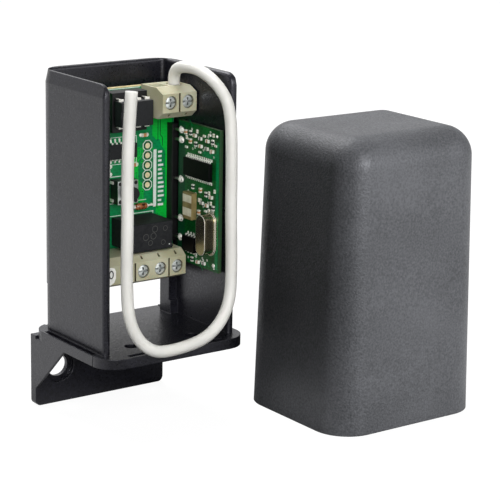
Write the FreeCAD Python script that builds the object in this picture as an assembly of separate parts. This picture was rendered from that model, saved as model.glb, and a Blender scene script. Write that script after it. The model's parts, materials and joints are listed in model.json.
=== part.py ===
import FreeCAD, Part
import math
import os

V = FreeCAD.Vector

# Gate radio receiver, open, with its cap standing beside it. Sizes in millimetres.
# Working frame: X across the walls, Y from the open front to the back, Z up from the
# floor of the base plate. At export everything moves so that the origin lies on the
# wall plane, midway between the two flange holes.

# Chassis
wall_width = 38.5            # outside of the two side walls
wall_depth = 31.8            # open front to the outside of the back wall
wall_height = 66.0
wall = 2.0
back_corner_radius = 6.5
inner_corner_radius = 1.3
front_top_radius = 3.0
wall_edge_round = 0.85
lead_in_height = 3.0         # taper at the wall tops that guides the cap on
lead_in_depth = 0.63
base_thickness = 2.6
base_side_margin = 2.0       # base plate beyond each side wall
base_front_margin = 4.3
base_front_radius = 6.0
base_back_radius = 5.5
window_height = 12.0         # open back below the circuit board
window_sill = 0.25
window_step = 0.1            # board guide to the front of the open back
cable_hole_diameter = 3.4
cable_hole_spacing = 18.0
cable_hole_setback = 8.1     # from the plate's front edge
slot_width = 1.4
slot_depth = 1.3
side_slot_length = 22.6
side_slot_centre = -1.4
front_slot_length = 28.0
front_slot_setback = 0.8
foot_groove_height = 0.6     # shallow groove in the walls' feet, beside the slots
foot_groove_depth = 0.4
seam_width = 0.25            # notch in the plate's side where its front corner starts
seam_depth = 0.25

# Flange that fastens the receiver
flange_thickness = 2.35
flange_drop = 18.05          # below the base plate
flange_rise = 0.7            # above the base plate's underside, behind its round corners
flange_right_setback = 3.75  # from the plate's right end
flange_corner_radius = 1.5
flange_hole_diameter = 5.7
flange_hole_from_end = 7.05
flange_hole_below_base = 8.56
flange_recess_diameter = 8.4 # shallow seat for the screw's head
flange_recess_depth = 1.1
gusset_thickness = 0.7
gusset_reach = 13.9
gusset_height = 13.3

# Circuit board and its guides
board_thickness = 1.6
board_setback = 7.54         # board front to the outside of the back wall
board_bottom = 11.5
board_height = 49.0
board_side_gap = 0.4
guide_width = 2.35
guide_lip = 1.16
guide_back_lip_width = 1.25
guide_gap = 0.1
guide_block_gap = 0.14       # left front lip to the first output block
guide_front_top = 14.0
guide_back_top = 58.0
guide_foot_height = 3.6
guide_foot_depth = 0.8

# Screw terminals, two poles each. Three output blocks share the circuit board's width.
output_block_count = 3
output_left_margin = 0.49    # blocks to the board's edges
output_right_margin = 2.73
output_screw_height = 15.2
antenna_screw_height = 57.3
block_depth = 10.0           # away from the board
block_entry_side = 3.6       # screw axis to the wire side
block_back_side = 4.15       # screw axis to the other side
entry_chamfer_depth = 3.0
entry_chamfer_height = 1.3
back_chamfer_depth = 2.15
back_chamfer_height = 1.7
pole_side_wall = 0.54
cavity_roof = 1.8
cavity_entry_side = 2.05
cavity_back_side = 2.85
wire_hole_gap = 0.25
funnel_flare = 0.35
funnel_depth = 1.0
divider_width = 0.5
divider_depth = 0.8
test_slot_width = 0.5
test_slot_below_face = 0.7
test_slot_height = 1.1
screw_diameter = 2.5
screw_pitch = 0.45
screw_head_diameter = 3.3
screw_head_height = 1.05
screw_head_below_face = 0.3
screw_length = 3.4
screw_slot_width = 0.5
screw_slot_depth = 0.5
screw_running_gap = 0.03
bore_running_gap = 0.06
head_running_gap = 0.075
clamp_side_gap = 0.2
clamp_side = 1.9
clamp_wall = 0.45
clamp_floor = 0.7
clamp_floor_gap = 0.15
clamp_roof = 0.9
clamp_travel = 1.6
clamp_end_gap = 0.1
wired_clamp_rise = 1.05      # of the clamp that holds the antenna wire
wire_squeeze_gap = 0.05
contact_side_gap = 0.25
contact_below_face = 5.5
contact_thickness = 0.7
contact_reach = 1.6
solder_pin_width = 1.0
solder_pin_beyond = 1.2      # past the back of the board

# Chips and small parts on the circuit board
chip_to_antenna_block = 0.86
chip_centre_z = 55.0
chip_length = 9.3
chip_width = 6.3
chip_thickness = 3.3
chip_pin_pitch = 2.54
chip_row_spacing = 7.62
socket_height = 4.2
socket_margin = 1.2
socket_pin_diameter = 0.7
socket_pin_below_top = 2.4
lead_thickness = 0.25
lead_width = 0.5

logic_centre_x = 0.3
logic_centre_z = 44.5
logic_length = 8.7
logic_width = 3.7
logic_thickness = 1.5
logic_standoff = 0.2
logic_pin_pitch = 1.27
logic_pin_count = 7
logic_lead_reach = 1.0

button_centre_x = 0.7
button_centre_z = 34.4
button_size = 6.0
button_height = 3.4
button_plate_thickness = 0.25
button_plunger_diameter = 3.5
button_plunger_length = 2.7  # proud of the plate
button_travel = 0.25
button_chamber_height = 2.4
button_throat = 0.65
rivet_spacing = 4.6
rivet_diameter = 0.9

relay_centre_x = 4.0
relay_length = 11.8
relay_centre_z = 23.85
relay_width = 7.1
relay_height = 10.3
relay_wall = 0.5
relay_base_thickness = 0.9
relay_coil_diameter = 4.8
relay_coil_length = 6.4
relay_pin_spacing = 5.0

diode_centre_x = 6.3
diode_centre_z = 29.6
diode_length = 3.7
diode_diameter = 1.8
diode_lead_span = 7.4
diode_lead_diameter = 0.5

capacitor_diameter = 6.3
capacitor_height = 7.7
capacitor_from_left_edge = 1.9
capacitor_z = 51.5
regulator_size = 4.5
regulator_thickness = 1.5
regulator_from_left_edge = 3.0
regulator_z = 33.5

passive_length = 1.6
passive_width = 0.85
passive_thickness = 0.6
passive_places = [(7.7, 47.8), (-5.6, 40.6), (-3.2, 40.6), (-5.6, 38.6), (-3.2, 38.6),
                  (4.6, 40.4), (-6.4, 31.6), (-6.4, 29.6), (-4.6, 25.4), (-4.6, 23.2)]

# Radio board, standing beside the right wall
radio_thickness = 1.0
radio_wall_gap = 0.35
radio_back = 4.7
radio_depth = 18.1
radio_bottom = 15.2
radio_height = 36.4
header_width = 1.8
header_height = 2.54
header_pin = 0.6
header_top_pin = 49.1
header_pitch = 2.54
header_used = [0, 1, 5, 9, 11]
header_pin_reach = 2.4       # pin ends at this place in depth

radio_chip_back = 0.8
radio_chip_length = 11.4
radio_chip_bottom = 38.2
radio_chip_width = 4.6
radio_chip_thickness = 1.1
radio_chip_pin_count = 14
radio_chip_reach = 1.1
filter_back = 0.4
filter_depth = 4.05
filter_bottom = 27.1
filter_height = 6.9
filter_thickness = 1.6
crystal_y = -10.3
crystal_z = 24.9
crystal_length = 10.3
crystal_width = 3.9
crystal_height = 3.5
crystal_rim = 0.45
crystal_rim_thickness = 0.5
memory_back = 0.5
memory_length = 5.1
memory_bottom = 18.7
memory_width = 3.9
memory_thickness = 1.4
memory_pin_count = 4
memory_reach = 1.0
radio_passive_places = [(1.2, 49.0), (-0.9, 49.1), (-2.8, 48.7), (-5.2, 48.3), (-8.4, 48.2), (-10.6, 48.3),
                        (-0.9, 47.0), (-3.2, 46.6), (-5.4, 46.4), (-8.0, 46.2), (-10.4, 45.9),
                        (-2.2, 35.5), (-5.6, 35.2), (-8.0, 34.6), (-10.2, 34.2), (-6.2, 32.0),
                        (-8.4, 31.8), (-11.2, 31.6), (-5.0, 29.4), (-2.2, 16.6), (-4.8, 16.4), (-7.4, 16.6)]

# Tag on the first output block
label_width = 5.8
label_height = 4.5
label_thickness = 0.25
label_corner = 1.4
label_from_end = 0.8

# Antenna wire. Its centre line is chosen by eye; across, it is measured from its pole's axis.
wire_diameter = 3.0
wire_core_diameter = 1.5
wire_hold = 2.3              # insulation ends this far above the screw axis
wire_first_rise = (-0.27, 0.23, 3.39)
wire_route = [(-1.08, 1.25, 65.92), (-0.01, -7.0, 66.2), (1.01, -14.83, 62.08), (2.07, -17.14, 56.76),
              (1.49, -18.6, 44.5), (1.39, -18.8, 31.5), (1.59, -19.2, 18.5), (0.69, -19.9, 8.5),
              (-5.81, -21.4, 2.2), (-15.81, -22.4, 0.7), (-24.81, -22.7, 1.2), (-30.11, -21.6, 8.5),
              (-30.11, -20.4, 20.0), (-29.31, -19.6, 32.5), (-29.01, -18.9, 45.0), (-28.21, -18.4, 56.5),
              (-27.41, -18.1, 64.6)]

# Cap, taken off
cap_overhang = 2.07          # past the base plate at the sides and front
cap_back_gap = 1.18          # to the back wall when fitted
cap_back_wall = 2.1
cap_height = 73.6
cap_wall = 1.5
cap_top = 2.2
cap_corner_radius = 9.1
cap_inner_corner_radius = 7.0
cap_top_radius = 7.6
cap_inner_top_radius = 4.5
cap_draft = 0.024            # inward, millimetres per millimetre of height
rim_band = 2.6
rim_gap = 0.25
rim_front_corner_radius = 4.5
rim_slot_depth = 1.1
cap_stand_x = 50.7           # where it stands beside the chassis
cap_stand_y = -28.7
cap_stand_z = -20.65

# Places worked out from the sizes above
half_width = wall_width / 2
half_depth = wall_depth / 2
inner_half_width = half_width - wall
base_half_width = half_width + base_side_margin
base_front = -half_depth - base_front_margin
base_bottom = -base_thickness
board_front = half_depth - board_setback
board_back = board_front + board_thickness
board_half_width = inner_half_width - board_side_gap
guide_front = board_front - guide_gap - guide_lip
guide_back = board_back + guide_gap + guide_lip
window_front = guide_back + window_step
flange_bottom = base_bottom - flange_drop
flange_front = half_depth - flange_thickness
flange_hole_z = base_bottom - flange_hole_below_base
flange_left_hole = -base_half_width + flange_hole_from_end
flange_right_end = base_half_width - flange_right_setback
flange_right_hole = flange_right_end - flange_hole_from_end
pole_pitch = (2 * board_half_width - output_left_margin - output_right_margin) / (2 * output_block_count)
block_width = 2 * pole_pitch
output_last_centre = board_half_width - output_right_margin - block_width / 2
antenna_block_centre = board_half_width - block_width / 2
antenna_pole_x = antenna_block_centre + pole_pitch / 2
cavity_width = pole_pitch - 2 * pole_side_wall
cavity_top = block_depth - cavity_roof
screw_head_bottom = block_depth - screw_head_below_face - screw_head_height
screw_tip = screw_head_bottom - screw_length
clamp_width = cavity_width - 2 * clamp_side_gap
clamp_top = cavity_top - clamp_travel - clamp_end_gap
clamp_roof_bottom = clamp_top - clamp_roof
contact_width = clamp_width - 2 * clamp_wall - 2 * contact_side_gap
contact_low = block_depth - contact_below_face
wire_depth = contact_low - wire_core_diameter / 2
wire_hole_width = wire_diameter + 2 * wire_hole_gap
wire_hole_low = wire_depth - wire_diameter / 2 - wire_hole_gap
wire_hole_high = wire_depth + wire_diameter / 2 + wire_hole_gap
clamp_bottom = contact_low - wire_core_diameter - wire_squeeze_gap - clamp_floor - wired_clamp_rise
cavity_floor = clamp_bottom - clamp_floor_gap
chip_centre_x = board_half_width - block_width - chip_to_antenna_block - 2 * chip_pin_pitch
capacitor_x = -board_half_width + capacitor_from_left_edge + capacitor_diameter / 2
regulator_x = -board_half_width + regulator_from_left_edge + regulator_size / 2
radio_face = inner_half_width - radio_wall_gap - radio_thickness
header_centre = radio_face - header_pin / 2
origin = V((flange_left_hole + flange_right_hole) / 2, half_depth, flange_hole_z)


def box(x0, x1, y0, y1, z0, z1):
    return Part.makeBox(x1 - x0, y1 - y0, z1 - z0, V(x0, y0, z0))


def cylinder(start, direction, radius, length):
    return Part.makeCylinder(radius, length, V(*start), V(*direction))


def corner(x, y, z, radius, from_angle, to_angle):
    middle = (from_angle + to_angle) / 2
    points = [V(x + radius * math.cos(math.radians(a)), y + radius * math.sin(math.radians(a)), z)
              for a in (from_angle, middle, to_angle)]
    return Part.Arc(*points).toShape(), points[0], points[2]


def rounded_wire(x0, x1, y0, y1, z, front_radius, back_radius):
    """Closed outline at one height, with its own radius at the front and back corners."""
    arcs = [corner(x1 - back_radius, y1 - back_radius, z, back_radius, 0, 90),
            corner(x0 + back_radius, y1 - back_radius, z, back_radius, 90, 180),
            corner(x0 + front_radius, y0 + front_radius, z, front_radius, 180, 270),
            corner(x1 - front_radius, y0 + front_radius, z, front_radius, 270, 360)]
    edges = []
    for number, (arc, start, end) in enumerate(arcs):
        edges.append(arc)
        edges.append(Part.makeLine(end, arcs[(number + 1) % 4][1]))
    return Part.Wire(edges)


def rounded_block(x0, x1, y0, y1, z0, z1, front_radius, back_radius):
    face = Part.Face(rounded_wire(x0, x1, y0, y1, z0, front_radius, back_radius))
    return face.extrude(V(0, 0, z1 - z0))


def side_profile(points, x0, x1):
    """Polygon given as (y, z), extruded along X."""
    wire = Part.makePolygon([V(x0, y, z) for y, z in points + points[:1]])
    return Part.Face(wire).extrude(V(x1 - x0, 0, 0))


def edges_where(shape, test):
    return [edge for edge in shape.Edges if test(edge)]


def joined(shapes):
    first = shapes[0]
    return first.fuse(shapes[1:]) if len(shapes) > 1 else first


def group(shapes):
    return Part.makeCompound(shapes)


def save(name, shape):
    placed = shape.copy()
    placed.translate(origin * -1)
    placed.exportStep(os.path.join("parts", name + ".step"))
    print(name, len(placed.Solids), "solids", round(placed.Volume, 2), "mm3")


# Chassis
def wall_outline(z, inset):
    radius = back_corner_radius - inset
    return rounded_wire(-half_width + inset, half_width - inset, -half_depth, half_depth - inset,
                        z, wall_edge_round, radius)


def make_walls():
    taper_start = wall_height - lead_in_height
    lower = Part.Face(wall_outline(0, 0)).extrude(V(0, 0, taper_start))
    upper = Part.makeLoft([wall_outline(taper_start, 0), wall_outline(wall_height, lead_in_depth)], True, True)
    outer = lower.fuse(upper).removeSplitter()
    inner = rounded_block(-inner_half_width, inner_half_width, -half_depth - wall, half_depth - wall,
                          -1, wall_height + 1, wall / 4, inner_corner_radius)
    walls = outer.cut(inner)
    top_arc_y = -half_depth + front_top_radius
    top_arc_z = wall_height - front_top_radius
    diagonal = front_top_radius * math.sqrt(0.5)
    start = V(-half_width - 1, -half_depth, top_arc_z)
    middle = V(start.x, top_arc_y - diagonal, top_arc_z + diagonal)
    end = V(start.x, top_arc_y, wall_height)
    corner_point = V(start.x, -half_depth - 1, wall_height + 1)
    waste_edges = [Part.Arc(start, middle, end).toShape(),
                   Part.makeLine(end, V(start.x, top_arc_y, corner_point.z)),
                   Part.makeLine(V(start.x, top_arc_y, corner_point.z), corner_point),
                   Part.makeLine(corner_point, V(start.x, corner_point.y, top_arc_z)),
                   Part.makeLine(V(start.x, corner_point.y, top_arc_z), start)]
    waste = Part.Face(Part.Wire(waste_edges)).extrude(V(wall_width + 2, 0, 0))
    walls = walls.cut(waste)
    window = box(-half_width - 1, half_width + 1, window_front, half_depth + 1, -1, window_height)
    return walls.cut(window)


def round_wall_fronts(walls):
    def upright_at_front(edge):
        ends = [vertex.Point for vertex in edge.Vertexes]
        if len(ends) < 2:
            return False
        at_front = all(point.y < -half_depth + 0.2 for point in ends)
        upright = abs(ends[0].z - ends[1].z) > wall_height / 2
        inside = all(abs(point.x) < inner_half_width + 0.01 for point in ends)
        return at_front and upright and inside
    return walls.makeFillet(wall_edge_round, edges_where(walls, upright_at_front))


def make_guide(side):
    """Board guide on one wall: foot, a stop under the board, a lip in front and one behind."""
    inner = inner_half_width - guide_width
    wall_x = inner_half_width + wall / 4
    lip_x = inner_half_width - guide_back_lip_width
    beside_block = board_half_width - output_left_margin + guide_block_gap
    front_lip_x = inner if side > 0 else beside_block
    pieces = [(inner, guide_front, guide_back, 0, board_bottom),
              (front_lip_x, guide_front, guide_front + guide_lip, 0, guide_front_top),
              (inner, guide_front - guide_foot_depth, guide_back, 0, guide_foot_height),
              (lip_x, guide_back - guide_lip, guide_back, 0, guide_back_top)]
    shapes = []
    for near, y0, y1, z0, z1 in pieces:
        x0, x1 = (near, wall_x) if side > 0 else (-wall_x, -near)
        shapes.append(box(x0, x1, y0, y1, z0 - 0.5, z1))
    return joined(shapes)


def make_base():
    base = rounded_block(-base_half_width, base_half_width, base_front, half_depth,
                         base_bottom, 0, base_front_radius, base_back_radius)
    cuts = [box(-inner_half_width, inner_half_width, window_front, half_depth + 1, -window_sill, 1)]
    for side in (-1, 1):
        hole_x = side * cable_hole_spacing / 2
        cuts.append(cylinder((hole_x, base_front + cable_hole_setback, base_bottom - 1), (0, 0, 1),
                             cable_hole_diameter / 2, base_thickness + 2))
        near = side * half_width
        far = side * (half_width + slot_width)
        cuts.append(box(min(near, far), max(near, far), side_slot_centre - side_slot_length / 2,
                        side_slot_centre + side_slot_length / 2, -slot_depth, 1))
        seam_x = side * (base_half_width + 0.5)
        seam_end = side * (base_half_width - seam_depth)
        cuts.append(box(min(seam_x, seam_end), max(seam_x, seam_end), base_front + base_front_radius,
                        base_front + base_front_radius + seam_width, base_bottom - 1, 1))
    slot_front = base_front + front_slot_setback
    cuts.append(box(-front_slot_length / 2, front_slot_length / 2, slot_front, slot_front + slot_width,
                    -slot_depth, 1))
    return base.cut(joined(cuts))


def make_flange():
    plate = box(-base_half_width, flange_right_end, flange_front, half_depth, flange_bottom,
                base_bottom + flange_rise)

    def low_corner(edge):
        ends = [vertex.Point for vertex in edge.Vertexes]
        along_y = abs(ends[0].y - ends[1].y) > flange_thickness / 2
        return along_y and all(point.z < flange_bottom + 0.01 for point in ends)
    plate = plate.makeFillet(flange_corner_radius, edges_where(plate, low_corner))
    gusset = side_profile([(flange_front, base_bottom), (flange_front - gusset_reach, base_bottom),
                           (flange_front, base_bottom - gusset_height)],
                          -base_half_width, -base_half_width + gusset_thickness)
    flange = plate.fuse(gusset)
    for hole_x in (flange_left_hole, flange_right_hole):
        flange = flange.cut(cylinder((hole_x, flange_front - 1, flange_hole_z), (0, 1, 0),
                                     flange_hole_diameter / 2, flange_thickness + 2))
        flange = flange.cut(cylinder((hole_x, flange_front - 1, flange_hole_z), (0, 1, 0),
                                     flange_recess_diameter / 2, flange_recess_depth + 1))
    return flange


def make_chassis():
    walls = round_wall_fronts(make_walls())
    base = make_base()
    guides = [make_guide(-1), make_guide(1)]
    body = walls.fuse([base] + guides)
    outside = rounded_block(-half_width, half_width, -half_depth, half_depth, base_bottom, wall_height,
                            wall_edge_round / 2, back_corner_radius)
    body = body.common(outside.fuse(base))
    grooves = []
    for side in (-1, 1):
        near = side * (half_width - foot_groove_depth)
        far = side * (half_width + slot_width)
        grooves.append(box(min(near, far), max(near, far), side_slot_centre - side_slot_length / 2,
                           side_slot_centre + side_slot_length / 2, 0, foot_groove_height))
    return body.cut(joined(grooves)).fuse(make_flange()).removeSplitter()


# Terminal pieces are drawn for one pole or block at a board face in the plane Y = 0,
# reaching toward -Y, wire side up, screw axis through the origin.
def place_on_board(shape, x, z, entry_up):
    placed = shape.copy()
    if not entry_up:
        placed.rotate(V(0, 0, 0), V(0, 1, 0), 180)
    placed.translate(V(x, board_front, z))
    return placed


def pole_offsets():
    return (-pole_pitch / 2, pole_pitch / 2)


def make_housing():
    half = block_width / 2
    outline = [(0, -block_back_side),
               (-(block_depth - back_chamfer_depth), -block_back_side),
               (-block_depth, -(block_back_side - back_chamfer_height)),
               (-block_depth, block_entry_side - entry_chamfer_height),
               (-(block_depth - entry_chamfer_depth), block_entry_side),
               (0, block_entry_side)]
    body = side_profile(outline, -half, half)
    cuts = [box(-divider_width / 2, divider_width / 2, -block_depth - 1, -(block_depth - divider_depth),
                -(block_back_side - back_chamfer_height), block_entry_side - entry_chamfer_height)]
    for x in pole_offsets():
        cuts.append(box(x - cavity_width / 2, x + cavity_width / 2, -cavity_top, -cavity_floor,
                        -cavity_back_side, cavity_entry_side))
        hole_half = wire_hole_width / 2
        cuts.append(box(x - hole_half, x + hole_half, -wire_hole_high, -wire_hole_low,
                        0, block_entry_side + 1))
        funnel = [(block_entry_side - funnel_depth, 0), (block_entry_side, funnel_flare)]
        wires = [rounded_wire(x - hole_half - flare, x + hole_half + flare,
                              -wire_hole_high - flare, -wire_hole_low + flare, z, 0.2, 0.2)
                 for z, flare in funnel]
        cuts.append(Part.makeLoft(wires, True, True))
        bore = screw_diameter / 2 + bore_running_gap
        cuts.append(cylinder((x, -block_depth - 1, 0), (0, 1, 0), bore, block_depth - cavity_top + 2))
        head_bore = screw_head_diameter / 2 + head_running_gap
        shoulder = screw_head_bottom - 0.05
        cuts.append(cylinder((x, -block_depth - 1, 0), (0, 1, 0), head_bore, block_depth - shoulder + 1))
        cuts.append(box(x - solder_pin_width / 2, x + solder_pin_width / 2, -cavity_floor - 0.5, 1,
                        -cavity_back_side, -cavity_back_side + contact_thickness))
        slot_half = test_slot_width / 2
        slot_top = block_depth - test_slot_below_face
        cuts.append(box(x - slot_half, x + slot_half, -slot_top, -(slot_top - test_slot_height),
                        -block_back_side - 1, -(cavity_back_side - 0.3)))
    return body.cut(joined(cuts))


def make_screw():
    head = cylinder((0, -screw_head_bottom, 0), (0, -1, 0), screw_head_diameter / 2, screw_head_height)
    shank = cylinder((0, -screw_head_bottom, 0), (0, 1, 0), screw_diameter / 2, screw_head_bottom - screw_tip)
    head_top = -(screw_head_bottom + screw_head_height)
    half = screw_slot_width / 2
    long = screw_head_diameter
    short = screw_head_diameter * 0.3
    slots = box(-long, long, head_top - 1, head_top + screw_slot_depth, -half, half)
    cross = box(-half, half, head_top - 1, head_top + screw_slot_depth, -short, short)
    return head.fuse(shank).cut(slots.fuse(cross))


def make_clamp(rise):
    half = clamp_width / 2
    body = box(-half, half, -clamp_top, -clamp_bottom, -clamp_side, clamp_side)
    opening_half = half - clamp_wall
    opening = box(-opening_half, opening_half, -clamp_roof_bottom, -(clamp_bottom + clamp_floor),
                  -clamp_side - 1, clamp_side + 1)
    thread = cylinder((0, -clamp_top - 1, 0), (0, 1, 0), screw_diameter / 2 + screw_running_gap, clamp_roof + 1.5)
    clamp = body.cut(opening.fuse(thread))
    clamp.translate(V(0, -rise, 0))
    return clamp


def make_contact():
    half = contact_width / 2
    pin_half = solder_pin_width / 2
    outer = -cavity_back_side
    inner = outer + contact_thickness
    strip = box(-half, half, -(contact_low + contact_thickness), -contact_low, outer, contact_reach)
    leg = box(-half, half, -(contact_low + contact_thickness), -cavity_floor, outer, inner)
    pin = box(-pin_half, pin_half, -cavity_floor - 0.5, board_thickness + solder_pin_beyond, outer, inner)
    return strip.fuse([leg, pin]).removeSplitter()


def make_terminals():
    """All blocks with their screws, clamps and contacts; returns the solder pins."""
    housing = make_housing()
    screw = make_screw()
    contact = make_contact()
    save("antenna_terminal_housing", place_on_board(housing, antenna_block_centre, antenna_screw_height, True))
    antenna_contacts = []
    for name, offset, rise in (("left", pole_offsets()[0], 0), ("right", pole_offsets()[1], wired_clamp_rise)):
        x = antenna_block_centre + offset
        save("antenna_screw_" + name, place_on_board(screw, x, antenna_screw_height, True))
        save("antenna_clamp_" + name, place_on_board(make_clamp(rise), x, antenna_screw_height, True))
        antenna_contacts.append(place_on_board(contact, x, antenna_screw_height, True))
    save("antenna_terminal_contacts", group(antenna_contacts))
    output_contacts = []
    pole = 0
    for block in range(output_block_count):
        centre = output_last_centre - (output_block_count - 1 - block) * block_width
        save("output_terminal_%d_housing" % (block + 1), place_on_board(housing, centre, output_screw_height, False))
        for offset in pole_offsets():
            pole += 1
            x = centre + offset
            save("output_screw_%d" % pole, place_on_board(screw, x, output_screw_height, False))
            save("output_clamp_%d" % pole, place_on_board(make_clamp(0), x, output_screw_height, False))
            output_contacts.append(place_on_board(contact, x, output_screw_height, False))
    save("output_terminal_contacts", group(output_contacts))
    return antenna_contacts + output_contacts


def make_label():
    first_centre = output_last_centre - (output_block_count - 1) * block_width
    right = first_centre + block_width / 2 - label_from_end
    face_bottom = output_screw_height - (block_entry_side - entry_chamfer_height)
    face = rounded_block(right - label_width, right, -label_height / 2, label_height / 2,
                         0, label_thickness, label_corner, label_corner)
    face.rotate(V(right, 0, 0), V(1, 0, 0), 90)
    face.translate(V(0, board_front - block_depth, face_bottom + label_height / 2 + 0.05))
    save("terminal_label", face)


# Chips
def gull_leads(count, pitch, row, reach, rise, side):
    """Flat leads in a row along X that step from a chip's side down to the board face."""
    leads = []
    t = lead_thickness
    foot = row + side * reach
    knee = row + side * reach * 0.45
    for number in range(count):
        x = (number - (count - 1) / 2) * pitch
        width = min(lead_width, pitch * 0.45)
        pieces = [(-rise - t, -rise, row, knee), (-rise - t, 0, knee - side * t, knee), (-t, 0, knee - side * t, foot)]
        parts = [box(x - width / 2, x + width / 2, y0, y1, min(za, zb), max(za, zb)) for y0, y1, za, zb in pieces]
        leads.append(joined(parts).removeSplitter())
    return leads


def flat_chip(length, width, thickness, count, pitch, reach):
    """Chip lying on a board face at Y = 0, long side along X; body and leads."""
    rise = logic_standoff + thickness * 0.45
    body = box(-length / 2, length / 2, -(logic_standoff + thickness), -logic_standoff, -width / 2, width / 2)
    leads = gull_leads(count, pitch, width / 2, reach, rise, 1) + gull_leads(count, pitch, -width / 2, reach, rise, -1)
    return body, group(leads)


def on_main_board(shape, x, z):
    placed = shape.copy()
    placed.translate(V(x, board_front, z))
    return placed


def make_socketed_chip():
    socket_half = chip_row_spacing / 2 + socket_margin
    socket = box(-2 * chip_pin_pitch, 2 * chip_pin_pitch, -socket_height, 0, -socket_half, socket_half)
    socket = socket.cut(box(-1.5 * chip_pin_pitch, 1.5 * chip_pin_pitch, -socket_height - 1, 1, -1.8, 1.8))
    chip_bottom = socket_height + 0.35
    body = box(-chip_length / 2, chip_length / 2, -(chip_bottom + chip_thickness), -chip_bottom,
               -chip_width / 2, chip_width / 2)
    notch = cylinder((-chip_length / 2, -(chip_bottom + chip_thickness) - 1, 0), (0, 1, 0), 0.9, 1.4)
    body = body.cut(notch)
    lead_middle = chip_bottom + chip_thickness / 2
    leads, slots, pins = [], [], []
    for number in range(4):
        x = (number - 1.5) * chip_pin_pitch
        for side in (-1, 1):
            row = side * chip_row_spacing / 2
            edge = side * chip_width / 2
            outer = row + side * lead_thickness / 2
            inner = row - side * lead_thickness / 2
            shoulder = box(x - 0.7, x + 0.7, -lead_middle - lead_thickness, -lead_middle,
                           min(edge, outer), max(edge, outer))
            down = box(x - 0.7, x + 0.7, -lead_middle, -socket_height, min(inner, outer), max(inner, outer))
            tip = box(x - lead_width / 2, x + lead_width / 2, -socket_height - 0.2, -socket_height + socket_pin_below_top - 0.2,
                      min(inner, outer), max(inner, outer))
            leads.append(joined([shoulder, down, tip]).removeSplitter())
            slots.append(tip)
            pins.append(cylinder((x, -socket_height + socket_pin_below_top, row), (0, 1, 0), socket_pin_diameter / 2,
                                 socket_height - socket_pin_below_top + board_thickness + solder_pin_beyond))
    socket = socket.cut(joined(slots + pins))
    centre = (chip_centre_x, chip_centre_z)
    placed_pins = on_main_board(group(pins), *centre)
    save("chip_socket", on_main_board(socket, *centre))
    save("chip_socket_pins", placed_pins)
    save("controller_chip", on_main_board(body, *centre))
    save("controller_chip_leads", on_main_board(group(leads), *centre))
    return placed_pins.Solids


def make_logic_chip():
    body, leads = flat_chip(logic_length, logic_width, logic_thickness, logic_pin_count,
                            logic_pin_pitch, logic_lead_reach)
    save("logic_chip", on_main_board(body, logic_centre_x, logic_centre_z))
    save("logic_chip_leads", on_main_board(leads, logic_centre_x, logic_centre_z))


# Learn button
def make_button():
    half = button_size / 2
    stem = button_plunger_diameter / 2
    flange_radius = stem + 0.55
    chamber = flange_radius + 0.2
    chamber_floor = button_height - button_chamber_height
    body = box(-half, half, -button_height, 0, -half, half)
    body = body.cut(cylinder((0, -button_height - 1, 0), (0, 1, 0), stem + 0.07, button_height))
    body = body.cut(cylinder((0, -chamber_floor, 0), (0, -1, 0), chamber, button_height - button_throat - chamber_floor))
    plate = box(-half, half, -button_height - button_plate_thickness, -button_height, -half, half)
    plate = plate.cut(cylinder((0, -button_height - 1, 0), (0, 1, 0), stem + 0.07, 2))
    rivets = []
    for sx in (-1, 1):
        for sz in (-1, 1):
            rivets.append(cylinder((sx * rivet_spacing / 2, -button_height, sz * rivet_spacing / 2), (0, -1, 0),
                                   rivet_diameter / 2, button_plate_thickness + 0.15))
    plate = plate.cut(joined(rivets))
    body = body.fuse(rivets)
    flange_top = button_height - button_throat - 0.05
    plunger_top = button_height + button_plate_thickness + button_plunger_length
    plunger = cylinder((0, -flange_top + 0.55, 0), (0, -1, 0), flange_radius, 0.55)
    plunger = plunger.fuse(cylinder((0, -flange_top + 0.55, 0), (0, -1, 0), stem, plunger_top - flange_top + 0.55))
    dome_top = flange_top - 0.55 - button_travel - 0.05
    dome = cylinder((0, -chamber_floor, 0), (0, -1, 0), chamber - 0.1, dome_top - chamber_floor)
    dome = dome.cut(cylinder((0, -chamber_floor, 0), (0, -1, 0), chamber - 0.3, dome_top - chamber_floor - 0.15))
    legs = []
    for sx in (-1, 1):
        for sz in (-1, 1):
            near = sx * half
            far = sx * (half + 0.3)
            z = sz * rivet_spacing / 2
            legs.append(box(min(near, far), max(near, far), -1.6, board_thickness + solder_pin_beyond,
                            z - 0.35, z + 0.35))
    centre = (button_centre_x, button_centre_z)
    placed_legs = on_main_board(group(legs), *centre)
    save("button_body", on_main_board(body, *centre))
    save("button_plate", on_main_board(plate, *centre))
    save("button_plunger", on_main_board(plunger, *centre))
    save("button_dome", on_main_board(dome, *centre))
    save("button_legs", placed_legs)
    return placed_legs.Solids


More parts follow.
